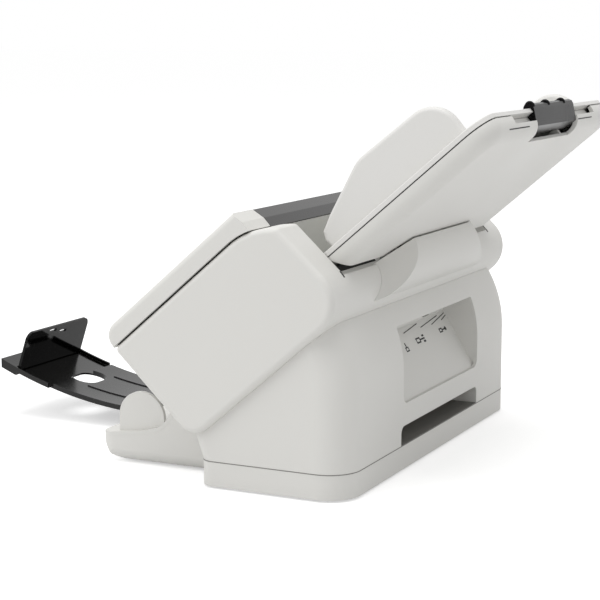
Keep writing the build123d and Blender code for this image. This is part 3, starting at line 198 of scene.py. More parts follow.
@dataclass(frozen=True)
class MouldedPlastic:
    """A moulded plastic part, such as ABS out of a textured or polished tool."""

    name: str
    colour: str
    roughness: float
    relief: Relief = Relief.SPARK
    grain_mm: float = 0.45
    relief_mm: float = 0.012
    mottle: float = 0.03
    coat: float = 0.0
    edge_mm: float = 0.35
    specular: float = 0.5

    def build(self) -> bpy.types.Material:
        """Makes the material.

        Returns:
            The material, ready to assign.
        """
        material, tree, place = start_material(self.name)
        shader = tree.nodes["Principled BSDF"]
        set_inputs(
            shader,
            {
                "IOR": ABS_IOR,
                "Specular IOR Level": self.specular,
                "Coat Weight": self.coat,
                "Coat Roughness": COAT_ROUGHNESS,
            },
        )
        wide = add_node(
            tree,
            "ShaderNodeTexNoise",
            inputs={"Vector": place, "Scale": MOTTLE_SCALE, "Detail": 3.0, "Roughness": 0.5},
        )
        base = linear_from_hex(self.colour)
        low = tuple(c * (1 - self.mottle) for c in base[:3]) + (1.0,)
        tint = add_node(
            tree,
            "ShaderNodeMix",
            {"data_type": "RGBA"},
            {"Factor": wide.outputs["Fac"], 6: low, 7: base},
        )
        tree.links.new(tint.outputs[2], shader.inputs["Base Color"])
        spread = ROUGH_SPREAD[self.relief]
        rough = add_node(
            tree,
            "ShaderNodeMapRange",
            inputs={
                "Value": wide.outputs["Fac"],
                "From Min": 0.3,
                "From Max": 0.7,
                "To Min": self.roughness - spread,
                "To Max": self.roughness + spread,
            },
        )
        tree.links.new(rough.outputs["Result"], shader.inputs["Roughness"])
        edge = add_node(tree, "ShaderNodeBevel", {"samples": 4}, {"Radius": self.edge_mm * MM})
        if self.relief is Relief.POLISHED:
            tree.links.new(edge.outputs["Normal"], shader.inputs["Normal"])
            return material
        grain = add_node(
            tree,
            "ShaderNodeTexNoise",
            inputs={
                "Vector": place,
                "Scale": per_mm(self.grain_mm),
                "Detail": 2.0,
                "Roughness": 0.6,
            },
        )
        bump = add_node(
            tree,
            "ShaderNodeBump",
            inputs={
                "Strength": 0.6,
                "Distance": self.relief_mm * MM,
                "Height": grain.outputs["Fac"],
                "Normal": edge.outputs["Normal"],
            },
        )
        tree.links.new(bump.outputs["Normal"], shader.inputs["Normal"])
        return material


@dataclass(frozen=True)
class DrawnMetal:
    """Drawn or plated metal with fine lines along one axis."""

    name: str
    colour: str
    roughness: float
    line_mm: float = 0.25
    axis: int = 0
    stretch: float = 40.0
    spread: float = 0.1

    def build(self) -> bpy.types.Material:
        """Makes the material.

        Returns:
            The material, ready to assign.
        """
        material, tree, place = start_material(self.name)
        shader = tree.nodes["Principled BSDF"]
        set_inputs(shader, {"Metallic": 1.0, "Base Color": linear_from_hex(self.colour)})
        scale = [per_mm(self.line_mm)] * 3
        scale[self.axis] /= self.stretch
        lines = add_node(tree, "ShaderNodeMapping", inputs={"Vector": place, "Scale": scale})
        noise = add_node(
            tree,
            "ShaderNodeTexNoise",
            inputs={"Vector": lines.outputs["Vector"], "Scale": 1.0, "Detail": 2.0},
        )
        rough = add_node(
            tree,
            "ShaderNodeMapRange",
            inputs={
                "Value": noise.outputs["Fac"],
                "To Min": self.roughness - self.spread,
                "To Max": self.roughness + self.spread,
            },
        )
        tree.links.new(rough.outputs["Result"], shader.inputs["Roughness"])
        return material


@dataclass(frozen=True)
class RollerRubber:
    """Ground rubber, matt, with a fine pebble left by the grinding wheel."""

    name: str
    colour: str
    roughness: float = 0.72
    pebble_mm: float = 0.5
    relief_mm: float = 0.05

    def build(self) -> bpy.types.Material:
        """Makes the material.

        Returns:
            The material, ready to assign.
        """
        material, tree, place = start_material(self.name)
        shader = tree.nodes["Principled BSDF"]
        set_inputs(shader, {"Roughness": self.roughness})
        pebble = add_node(
            tree,
            "ShaderNodeTexVoronoi",
            inputs={"Vector": place, "Scale": per_mm(self.pebble_mm)},
        )
        base = linear_from_hex(self.colour)
        pale = tuple(min(1.0, c * 1.5 + 0.01) for c in base[:3]) + (1.0,)
        dust = add_node(
            tree,
            "ShaderNodeMix",
            {"data_type": "RGBA"},
            {"Factor": pebble.outputs["Distance"], 6: base, 7: pale},
        )
        tree.links.new(dust.outputs[2], shader.inputs["Base Color"])
        bump = add_node(
            tree,
            "ShaderNodeBump",
            inputs={
                "Strength": 0.5,
                "Distance": self.relief_mm * MM,
                "Height": pebble.outputs["Distance"],
            },
        )
        tree.links.new(bump.outputs["Normal"], shader.inputs["Normal"])
        return material


@dataclass(frozen=True)
class ClearGlass:
    """Float glass over a dark space."""

    name: str
    colour: str
    roughness: float = 0.02
    smear: float = 0.06
    clear: float = 0.85

    def build(self) -> bpy.types.Material:
        """Makes the material.

        Returns:
            The material, ready to assign.
        """
        material, tree, place = start_material(self.name)
        shader = tree.nodes["Principled BSDF"]
        set_inputs(
            shader,
            {
                "Base Color": linear_from_hex(self.colour),
                "IOR": GLASS_IOR,
                "Transmission Weight": self.clear,
            },
        )
        smear = add_node(
            tree, "ShaderNodeTexNoise", inputs={"Vector": place, "Scale": 60.0, "Detail": 4.0}
        )
        rough = add_node(
            tree,
            "ShaderNodeMapRange",
            inputs={
                "Value": smear.outputs["Fac"],
                "From Min": 0.4,
                "From Max": 0.8,
                "To Min": self.roughness,
                "To Max": self.roughness + self.smear,
            },
        )
        tree.links.new(rough.outputs["Result"], shader.inputs["Roughness"])
        return material


# Textured ABS: pale and even, so edges read only by their soft highlights
WHITE_ABS = MouldedPlastic("white_abs_spark_textured", "#DCDBD7", 0.52)
# The same ABS from a finer tool face, on the parts handled most
WHITE_ABS_FINE = MouldedPlastic(
    "white_abs_fine_matt", "#DFDEDB", 0.44, Relief.FINE_MATT, 0.35, 0.008
)
# White ABS deep in the paper path, darker as painted shade where less light reaches it
GUIDE_ABS_PAINTED_SHADE = MouldedPlastic("white_abs_guide_painted_shade", "#BFBFBA", 0.4, Relief.FINE_MATT, 0.4, 0.006)
# Polished dark brown ABS: its two facets mirror the white room unevenly
DARK_GLOSS_ABS = MouldedPlastic(
    "dark_abs_polished", "#1F1D1C", 0.14, Relief.POLISHED, mottle=0.05, edge_mm=0.3, specular=0.4
)
# Near-black tray moulding: black from above, a grey sheen where it is seen at a low angle
SMOKE_ABS = MouldedPlastic(
    "black_abs_tray_satin", "#080807", 0.17, Relief.FINE_MATT, 0.5, 0.003, 0.08, 0.0, 0.3, 0.3
)
# The same black from a polished tool face: stays black, with only faint reflections
STOPPER_ABS = MouldedPlastic(
    "black_abs_polished", "#040404", 0.06, Relief.POLISHED, mottle=0.05, edge_mm=0.3, specular=0.12
)
# Black ABS with a fine grain: dark, with a dim and broken highlight
BLACK_ABS = MouldedPlastic(
    "black_abs_spark_textured", "#070607", 0.26, Relief.SPARK, 0.4, 0.008, 0.05, specular=0.12
)
# Soft matt black: the dark joint lines, and painted shade in the gaps, which swallows the light
# that falls in
BLACK_JOINT_AND_GAP_SHADE = MouldedPlastic("black_joint_line_and_painted_gap_shade", "#0B0B0B", 0.7, Relief.FINE_MATT, 0.4, 0.004, 0.05)
# Thin shade in the joint between plinth and pedestal: one grey line
JOINT_SHADE = MouldedPlastic("grey_abs_joint", "#82817D", 0.7, Relief.FINE_MATT, 0.4, 0.004)
# Floor of the hand-hold: a flat dark grey, painted shade of the recess
HOLD_PAINTED_SHADE = MouldedPlastic("hand_hold_painted_shade", "#716F6B", 0.6, Relief.SPARK, 0.5, 0.015, 0.1)
# Pad-printed ink: flat, with the faint speckle of the pad
PRINT_INK = MouldedPlastic(
    "black_pad_print_ink", "#1A1A1A", 0.55, Relief.FINE_MATT, 0.3, 0.003, 0.1
)
# The same ink in white: pale signs that stand out from the grey keys
PALE_INK = MouldedPlastic("white_pad_print_ink", "#E9E9E6", 0.5, Relief.FINE_MATT, 0.3, 0.003, 0.05)
# Self-coloured acetal: mid grey with a waxy, dim highlight
GREY_ACETAL = MouldedPlastic("grey_acetal_moulded", "#7C7D7E", 0.38, Relief.FINE_MATT, 0.4, 0.006)
# Polished acrylic panel: a black mirror round the keys
PANEL_GLOSS = MouldedPlastic(
    "black_acrylic_polished", "#17181A", 0.1, Relief.POLISHED, mottle=0.04, coat=0.8, edge_mm=0.2
)
# Solder-resist lacquer: deep green, uneven over the copper below
BOARD_LACQUER = MouldedPlastic(
    "green_lacquered_board", "#0E4A2A", 0.3, Relief.POLISHED, mottle=0.2, coat=0.3, edge_mm=0.1
)
# Bright drawn bar: fine lines along the shaft stretch its highlight
DRAWN_STEEL = DrawnMetal("drawn_steel", "#B9BABC", 0.28)
# Nickel plate on a folded shell: brighter, with shorter lines
PLATED_SHELL = DrawnMetal("nickel_plated_steel", "#C9C9C6", 0.22, 0.2, 1)
# Moulded pads: dull black, with no highlight to speak of
FOOT_RUBBER = RollerRubber("moulded_foot_rubber", "#1C1C1D", 0.8, 0.6)
# Ground tyres: dark grey, dusted paler by paper
ROLLER_RUBBER = RollerRubber("ground_roller_rubber", "#3A3C40")
# Clear scanning glass: a cool, sharp glint over the dark sensor
SCAN_GLASS = ClearGlass("float_glass", "#DCE6E4")
# Tinted display window: near black, a little softer
DISPLAY_GLASS = ClearGlass("display_window_glass", "#1E2A2E", 0.03)

Finish = MouldedPlastic | DrawnMetal | RollerRubber | ClearGlass


@dataclass
class Finishes:
    """Builds each finish once and hands it to the parts that share it."""

    made: dict[str, bpy.types.Material] = field(default_factory=dict)

    def get(self, finish: Finish) -> bpy.types.Material:
        """The material of a finish, built the first time it is asked for.

        Args:
            finish: The finish.

        Returns:
            The shared material.
        """
        if finish.name not in self.made:
            self.made[finish.name] = finish.build()
        return self.made[finish.name]

    def dress(self, node: str, finish: Finish) -> None:
        """Gives a carried-over node its finish.

        Args:
            node: Name of the node.
            finish: The finish to put on it.
        """
        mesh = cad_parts[node].data
        mesh.materials.clear()
        mesh.materials.append(self.get(finish))


def face_matrix(at: Vector, across: Vector, up: Vector) -> Matrix:
    """The transform that lays a flat shape drawn in X and Y on a face.

    Args:
        at: Where the shape's centre goes.
        across: Direction of the shape's X on the face.
        up: Direction of the shape's Y on the face.

    Returns:
        A 4 by 4 matrix whose Z points off the face.
    """
    away = across.cross(up)
    turn = Matrix((across, up, away)).transposed().to_4x4()
    return Matrix.Translation(at) @ turn


def flat_sheet(width: float, height: float) -> bmesh.types.BMesh:
    """A single flat face in X and Y about the origin.

    Args:
        width: Size along X, in metres.
        height: Size along Y.

    Returns:
        The open face, to be given corners, a hole or a thickness.
    """
    shape = bmesh.new()
    bmesh.ops.create_grid(shape, x_segments=1, y_segments=1, size=0.5)
    bmesh.ops.scale(shape, vec=(width, height, 1), verts=shape.verts[:])
    return shape


def slab(
    width: float, height: float, thick: float, corner: float, place: Matrix
) -> bmesh.types.BMesh:
    """A thin plate with rounded corners, laid on a face.

    Args:
        width: Size along X, in metres.
        height: Size along Y.
        thick: Size off the face.
        corner: Radius of its corners.
        place: Transform from face_matrix.

    Returns:
        The closed shape.
    """
    shape = flat_sheet(width, height)
    bmesh.ops.bevel(
        shape,
        geom=shape.verts[:],
        offset=corner,
        segments=CORNER_STEPS,
        profile=0.5,
        affect="VERTICES",
        material=-1,
    )
    thicken(shape, thick)
    bmesh.ops.transform(shape, matrix=place, verts=shape.verts[:])
    return shape


def frame_line(
    width: float, height: float, line: float, thick: float, place: Matrix
) -> bmesh.types.BMesh:
    """A rectangular outline of one line's width, laid on a face.

    Args:
        width: Outer size along X.
        height: Outer size along Y.
        line: Width of the line.
        thick: Size off the face.
        place: Transform from face_matrix.

    Returns:
        The closed shape.
    """
    shape = flat_sheet(width, height)
    middle = shape.faces[:]
    bmesh.ops.inset_region(
        shape, faces=middle, thickness=line, use_boundary=True, use_even_offset=True
    )
    bmesh.ops.delete(shape, geom=middle, context="FACES_ONLY")
    thicken(shape, thick)
    bmesh.ops.transform(shape, matrix=place, verts=shape.verts[:])
    return shape


def disc(radius: float, thick: float, sides: int, place: Matrix) -> bmesh.types.BMesh:
    """A flat disc, or with few sides a polygon, laid on a face.

    Args:
        radius: Distance from centre to corner.
        thick: Size off the face.
        sides: Number of its sides.
        place: Transform from face_matrix.

    Returns:
        The closed shape.
    """
    shape = bmesh.new()
    bmesh.ops.create_circle(shape, cap_ends=True, segments=sides, radius=radius)
    thicken(shape, thick)
    bmesh.ops.transform(shape, matrix=place, verts=shape.verts[:])
    return shape


def thicken(shape: bmesh.types.BMesh, thick: float) -> None:
    """Gives a flat shape its thickness towards +Z and turns its faces outwards.

    Args:
        shape: The flat shape, in X and Y.
        thick: How thick it becomes.
    """
    grown = bmesh.ops.extrude_face_region(shape, geom=shape.faces[:])["geom"]
    top = [v for v in grown if isinstance(v, bmesh.types.BMVert)]
    bmesh.ops.translate(shape, verts=top, vec=(0, 0, thick))
    bmesh.ops.recalc_face_normals(shape, faces=shape.faces[:])


def merged(shapes: list[bmesh.types.BMesh]) -> bmesh.types.BMesh:
    """Joins closed shapes into one mesh and frees them.

    Args:
        shapes: The shapes to join.

    Returns:
        One shape that holds them all.
    """
    whole = bmesh.new()
    for shape in shapes:
        part = bpy.data.meshes.new("part")
        shape.to_mesh(part)
        shape.free()
        whole.from_mesh(part)
        bpy.data.meshes.remove(part)
    return whole


def clean_copy(node: str) -> bmesh.types.BMesh:
    """A welded copy of a carried-over node's mesh.

    Args:
        node: Name of the node.

    Returns:
        The copy, with its doubled points merged.
    """
    shape = bmesh.new()
    shape.from_mesh(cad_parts[node].data)
    bmesh.ops.remove_doubles(shape, verts=shape.verts[:], dist=WELD)
    return shape


def contour_band(
    node: str,
    at: Vector,
    square_to: Vector,
    width: float,
    keep: Callable[[Vector], bool] = lambda middle: True,
) -> bmesh.types.BMesh:
    """A band that follows a node's outline where a plane cuts it.

    Args:
        node: Name of the node.
        at: A point on the plane.
        square_to: The plane's normal.
        width: Width of the band, half each side of the plane.
        keep: Says from an edge's middle whether the band takes that edge.

    Returns:
        The band as an open sheet, on the widest run of kept edges.
    """
    shape = clean_copy(node)
    whole = shape.verts[:] + shape.edges[:] + shape.faces[:]
    cut = bmesh.ops.bisect_plane(shape, geom=whole, plane_co=at, plane_no=square_to)["geom_cut"]
    edges = [e for e in cut if isinstance(e, bmesh.types.BMEdge)]
    edges = [e for e in edges if keep((e.verts[0].co + e.verts[1].co) / 2)]
    run = widest_run(edges)
    old = shape.verts[:]
    bmesh.ops.duplicate(shape, geom=run + list({v for e in run for v in e.verts}))
    bmesh.ops.delete(shape, geom=old, context="VERTS")
    bmesh.ops.translate(shape, verts=shape.verts[:], vec=-square_to * width / 2)
    grown = bmesh.ops.extrude_edge_only(shape, edges=shape.edges[:])["geom"]
    top = [v for v in grown if isinstance(v, bmesh.types.BMVert)]
    bmesh.ops.translate(shape, verts=top, vec=square_to * width)
    bmesh.ops.recalc_face_normals(shape, faces=shape.faces[:])
    return shape


def widest_run(edges: list[bmesh.types.BMEdge]) -> list[bmesh.types.BMEdge]:
    """The joined-up run that reaches furthest, so an outer line and not an inner one.

    Args:
        edges: Edges of one or more runs.

    Returns:
        The edges of the run with the largest corner-to-corner reach.
    """
    left = set(edges)
    best: list[bmesh.types.BMEdge] = []
    best_reach = 0.0
    while left:
        grown = [left.pop()]
        for edge in grown:
            near = {e for v in edge.verts for e in v.link_edges if e in left}
            left -= near
            grown.extend(near)
        points = [v.co for e in grown for v in e.verts]
        spans = [max(c) - min(c) for c in zip(*points)]
        reach = math.hypot(*spans)
        if reach > best_reach:
            best, best_reach = grown, reach
    return best


def add_piece(
    shape: bmesh.types.BMesh,
    name: str,
    body: str,
    material: bpy.types.Material,
    wall: float = 0.0,
) -> bpy.types.Object:
    """Makes an object of a finished shape, and lets it ride on a body.

    Args:
        shape: The shape, in the frame's place; freed here.
        name: Name of the piece.
        body: Body that it moves with.
        material: Its finish.
        wall: Thickness to give an open sheet, half to each side.

    Returns:
        The new object.
    """
    data = bpy.data.meshes.new(name)
    shape.to_mesh(data)
    shape.free()
    piece = bpy.data.objects.new(name, data)
    bpy.context.scene.collection.objects.link(piece)
    data.materials.append(material)
    if wall:
        solid = piece.modifiers.new("wall", "SOLIDIFY")
        solid.thickness = wall
        solid.offset = 0.0
        solid.use_even_offset = True
    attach(piece, body)
    log.info("made %s", name)
    return piece


@dataclass
class Assembly:
    """A sub-assembly: the nodes that it dresses, with their finishes."""

    finishes: Finishes
    nodes: dict[str, Finish] = field(default_factory=dict)

    def build(self) -> None:
        """Dresses the carried-over nodes of this sub-assembly."""
        for node, finish in self.nodes.items():
            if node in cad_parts:
                self.finishes.dress(node, finish)
                log.info("dressed %s", node)
            else:
                log.warning("no node %s", node)


@dataclass
class Base(Assembly):
    """Plinth, pedestal, connector panel and what is plugged into it."""

    nodes: dict[str, Finish] = field(
        default_factory=lambda: {
            "plinth": WHITE_ABS,
            "pedestal_housing": WHITE_ABS,
            "connector_panel": WHITE_ABS,
            "base_screws": DRAWN_STEEL,
            "rubber_pads": FOOT_RUBBER,
            "data_socket": PLATED_SHELL,
            "host_socket": PLATED_SHELL,
            "power_inlet": BLACK_ABS,
            "main_board": BOARD_LACQUER,
        }
    )
    seam_from_z: float = 12.0 * MM
    seam_z: float = 17.3 * MM
    seam_width: float = 0.5 * MM
    seam_wall: float = 0.3 * MM
    hold_low_x: float = -77.8 * MM
    hold_high_x: float = 63.8 * MM
    hold_depth: float = 29.6 * MM
    hold_floor_z: float = 17.5 * MM
    panel_slope: float = math.radians(58.5)
    panel_top_y: float = 98.0 * MM
    panel_top_z: float = 82.9 * MM
    ink: float = 0.12 * MM
    slits: tuple[tuple[float, float, float, float], ...] = (
        (3.0, 4.0, -24.3, 1.2),
        (-27.1, 4.8, -62.3, 1.4),
        (-46.6, 5.9, -76.0, 1.6),
        (-66.0, 5.6, -77.0, 3.4),
    )
    slit_width: float = 0.6 * MM
    slit_corner: float = 0.25 * MM
    floor_gap: float = 0.6 * MM
    floor_thick: float = 0.3 * MM
    floor_corner: float = 0.5 * MM
    power_at: tuple[float, float] = (9.5 * MM, 15.0 * MM)
    host_at: tuple[float, float] = (-17.3 * MM, 12.4 * MM)
    data_at: tuple[float, float] = (-59.3 * MM, 12.2 * MM)

    def panel_place(self, x: float, down: float) -> Matrix:
        """Where a mark goes on the sloping connector panel.

        Args:
            x: Place across the object.
            down: Distance from the panel's top edge.

        Returns:
            The transform for the mark.
        """
        low = Vector((0, math.cos(self.panel_slope), -math.sin(self.panel_slope)))
        top = Vector((x, self.panel_top_y, self.panel_top_z))
        return face_matrix(top + low * down, -ACROSS, -low)

    def outline(
        self, at: tuple[float, float], x_mm: float, size_mm: tuple[float, float], line_mm: float
    ) -> bmesh.types.BMesh:
        """An outlined plug, as one part of a socket sign.

        Args:
            at: The sign's place across and down the panel.
            x_mm: Shift along the sign.
            size_mm: Width and height.
            line_mm: Width of its line.

        Returns:
            The closed shape on the panel.
        """
        place = self.panel_place(*at) @ Matrix.Translation((x_mm * MM, 0, 0))
        return frame_line(size_mm[0] * MM, size_mm[1] * MM, line_mm * MM, self.ink, place)

    def stroke(
        self,
        at: tuple[float, float],
        shift_mm: tuple[float, float],
        size_mm: tuple[float, float],
        corner_mm: float,
    ) -> bmesh.types.BMesh:
        """A short filled bar, as one part of a socket sign.

        Args:
            at: The sign's place across and down the panel.
            shift_mm: Shift along and across the sign.
            size_mm: Length and width.
            corner_mm: Radius of its corners.

        Returns:
            The closed shape on the panel.
        """
        place = self.panel_place(*at) @ Matrix.Translation((shift_mm[0] * MM, shift_mm[1] * MM, 0))
        return slab(size_mm[0] * MM, size_mm[1] * MM, self.ink, corner_mm * MM, place)

    def marks(self) -> None:
        """Prints the generic socket signs on the connector panel."""
        power, host, data = self.power_at, self.host_at, self.data_at
        ball = self.panel_place(*data) @ Matrix.Translation((5.8 * MM, 0, 0))
        signs = {
            "power_sign": [
                self.outline(power, 0.0, (5.0, 3.4), 0.9),
                self.stroke(power, (0.0, 3.2), (1.4, 3.0), 0.2),
            ],
            "host_sign": [
                self.outline(host, -4.0, (7.0, 4.2), 1.1),
                self.stroke(host, (3.4, 0.0), (8.0, 1.1), 0.2),
                self.stroke(host, (5.8, 2.1), (3.4, 1.5), 0.3),
                self.stroke(host, (5.8, -2.1), (3.4, 1.5), 0.3),
            ],
            "data_sign": [
                self.outline(data, -3.0, (5.6, 3.4), 1.0),
                self.stroke(data, (2.6, 0.0), (6.4, 1.0), 0.2),
                disc(1.6 * MM, self.ink, 16, ball),
            ],
        }
        ink = self.finishes.get(PRINT_INK)
        for name, shapes in signs.items():
            add_piece(merged(shapes), name, "base", ink)

    def socket_slit_shade(self) -> None:
        """Painted shade: slanted black strips along the top of the connector panel, for the dark
        gaps under the sockets.
        """
        shapes = []
        for x_low, down_low, x_high, down_high in self.slits:
            length = math.hypot(x_low - x_high, down_low - down_high) * MM
            lean = math.atan2(down_low - down_high, x_low - x_high)
            middle = self.panel_place((x_low + x_high) / 2 * MM, (down_low + down_high) / 2 * MM)
            place = middle @ Matrix.Rotation(lean, 4, "Z")
            shapes.append(slab(length, self.slit_width, self.ink, self.slit_corner, place))
        joint_and_gap_shade = self.finishes.get(BLACK_JOINT_AND_GAP_SHADE)
        add_piece(merged(shapes), "socket_slit_shade", "base", joint_and_gap_shade)

    def build(self) -> None:
        """Dresses the base, then adds its joint line, the hand-hold floor's painted shade and
        signs.
        """
        super().build()
        shade = self.finishes.get(JOINT_SHADE)
        seam = contour_band("plinth", Vector((0, 0, self.seam_from_z)), UPRIGHT, self.seam_width)
        bmesh.ops.translate(seam, verts=seam.verts[:], vec=(0, 0, self.seam_z - self.seam_from_z))
        add_piece(seam, "plinth_joint", "base", shade, self.seam_wall)
        # Painted shade: a flat dark grey plate on the hand-hold's floor.
        middle_x = (self.hold_low_x + self.hold_high_x) / 2
        middle = Vector((middle_x, REAR_Y - self.hold_depth / 2, self.hold_floor_z))
        floor = slab(
            self.hold_high_x - self.hold_low_x,
            self.hold_depth - self.floor_gap,
            self.floor_thick,
            self.floor_corner,
            face_matrix(middle, ACROSS, Vector((0, 1, 0))),
        )
        add_piece(floor, "hand_hold_floor_painted_shade", "base", self.finishes.get(HOLD_PAINTED_SHADE))
        self.marks()
        self.socket_slit_shade()


@dataclass
class UpperBlock(Assembly):
    """The tilted housing with the lower half of the paper path."""

    nodes: dict[str, Finish] = field(
        default_factory=lambda: {
            "body_housing": WHITE_ABS,
            "hinge_hood": WHITE_ABS,
            "body_guide": GUIDE_ABS_PAINTED_SHADE,
            "lower_sensor": BLACK_ABS,
            "lower_glass": SCAN_GLASS,
            "shaft_bushes": GREY_ACETAL,
            "cover_pins": DRAWN_STEEL,
            "tray_pins": DRAWN_STEEL,
            "drive_shaft": DRAWN_STEEL,
            "drive_tyres": ROLLER_RUBBER,
            "eject_shaft": DRAWN_STEEL,
            "eject_tyres": ROLLER_RUBBER,
            "feed_shaft": DRAWN_STEEL,
            "feed_tyres": ROLLER_RUBBER,
        }
    )
    lip_width: float = 2.8 * MM
    lip_wall: float = 0.5 * MM
    pocket_u: float = -14.5 * MM
    pocket_high_n: float = -2.9 * MM
    pocket_low_n: float = -8.4 * MM
    pocket_half: float = 127.0 * MM
    pocket_thick: float = 0.15 * MM
    pocket_corner: float = 0.3 * MM
    cheek_x: float = 128.9 * MM
    cheek_line: float = 1.6 * MM
    cheek_wall: float = 0.3 * MM
    cheek_near_y: float = 97.0 * MM
    cheek_far_y: float = 112.5 * MM
    cheek_reach: float = 175.4 * MM
    cheek_tilt: float = math.radians(47.4)

    def on_cheek(self, middle: Vector) -> bool:
        """Whether a point lies on the cheek's outer slope beside the tray.

        Args:
            middle: The point.

        Returns:
            True on the outer face, between the two ends of the painted gap shade.
        """
        reach = middle.y * math.cos(self.cheek_tilt) + middle.z * math.sin(self.cheek_tilt)
        return self.cheek_near_y < middle.y < self.cheek_far_y and reach > self.cheek_reach

    def build(self) -> None:
        """Dresses the housing, then lays black painted shade in the gap round the feed tray."""
        super().build()
        joint_and_gap_shade = self.finishes.get(BLACK_JOINT_AND_GAP_SHADE)
        # Painted shade: a black band along the hood's top, in the gap under the tray shell.
        top_n = max(off_path(v.co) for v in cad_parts["hinge_hood"].data.vertices)
        lip_at = path_point(0, top_n - self.lip_width / 2)
        lip = contour_band("hinge_hood", lip_at, OFF_PATH, self.lip_width)
        add_piece(lip, "hood_gap_painted_shade", "base", joint_and_gap_shade, self.lip_wall)
        # Painted shade: a black plate on the pocket's end wall, under the tray shell.
        middle = path_point(self.pocket_u, (self.pocket_high_n + self.pocket_low_n) / 2)
        height = self.pocket_high_n - self.pocket_low_n
        on_wall = face_matrix(middle, -ACROSS, OFF_PATH)
        back = slab(2 * self.pocket_half, height, self.pocket_thick, self.pocket_corner, on_wall)
        add_piece(back, "pocket_painted_shade", "base", joint_and_gap_shade)
        # Painted shade: black lines along the gap on each cheek beside the tray.
        for side, name in ((1, "right_cheek_gap_painted_shade"), (-1, "left_cheek_gap_painted_shade")):
            at = ACROSS * self.cheek_x * side
            edge = contour_band("body_housing", at, ACROSS, self.cheek_line, self.on_cheek)
            add_piece(edge, name, "base", joint_and_gap_shade, self.cheek_wall)


@dataclass
class FrontCover(Assembly):
    """The hinged front cover with its frame, rollers and operator panel."""

    nodes: dict[str, Finish] = field(
        default_factory=lambda: {
            "cover_shell": WHITE_ABS,
            "top_strip": DARK_GLOSS_ABS,
            "operator_panel": PANEL_GLOSS,
            "display_window": DISPLAY_GLASS,
            "key_board": BOARD_LACQUER,
            "cover_frame": GUIDE_ABS_PAINTED_SHADE,
            "upper_sensor": BLACK_ABS,
            "upper_glass": SCAN_GLASS,
            "start_key": GREY_ACETAL,
            "stop_key": GREY_ACETAL,
            "function_key": GREY_ACETAL,
            "separation_roller": ROLLER_RUBBER,
            "pinch_rollers": GREY_ACETAL,
            "exit_rollers": GREY_ACETAL,
        }
    )
    ink: float = 0.12 * MM
    start_radius: float = 3.0 * MM
    stop_side: float = 3.2 * MM
    stop_corner: float = 0.2 * MM
    ring_side: float = 3.4 * MM
    ring_line: float = 0.6 * MM

    def key_top(self, node: str) -> Matrix:
        """Where a sign goes on a key's face.

        Args:
            node: Name of the key.

        Returns:
            The transform for the sign, with its Y up the slope.
        """
        low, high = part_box(node)
        top_n = max(off_path(v.co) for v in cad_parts[node].data.vertices)
        middle = (Vector(low) + Vector(high)) / 2
        return face_matrix(middle + OFF_PATH * (top_n - off_path(middle)), ACROSS, UP_PATH)

    def build(self) -> None:
        """Dresses the cover, then prints the generic key signs."""
        super().build()
        ink = self.finishes.get(PALE_INK)
        start = self.key_top("start_key") @ Matrix.Rotation(-math.pi / 2, 4, "Z")
        stop, function = self.key_top("stop_key"), self.key_top("function_key")
        side, ring = self.stop_side, self.ring_side
        signs = {
            "start_key": disc(self.start_radius, self.ink, 3, start),
            "stop_key": slab(side, side, self.ink, self.stop_corner, stop),
            "function_key": frame_line(ring, ring, self.ring_line, self.ink, function),
        }
        for key, shape in signs.items():
            add_piece(shape, f"{key}_sign", key, ink)


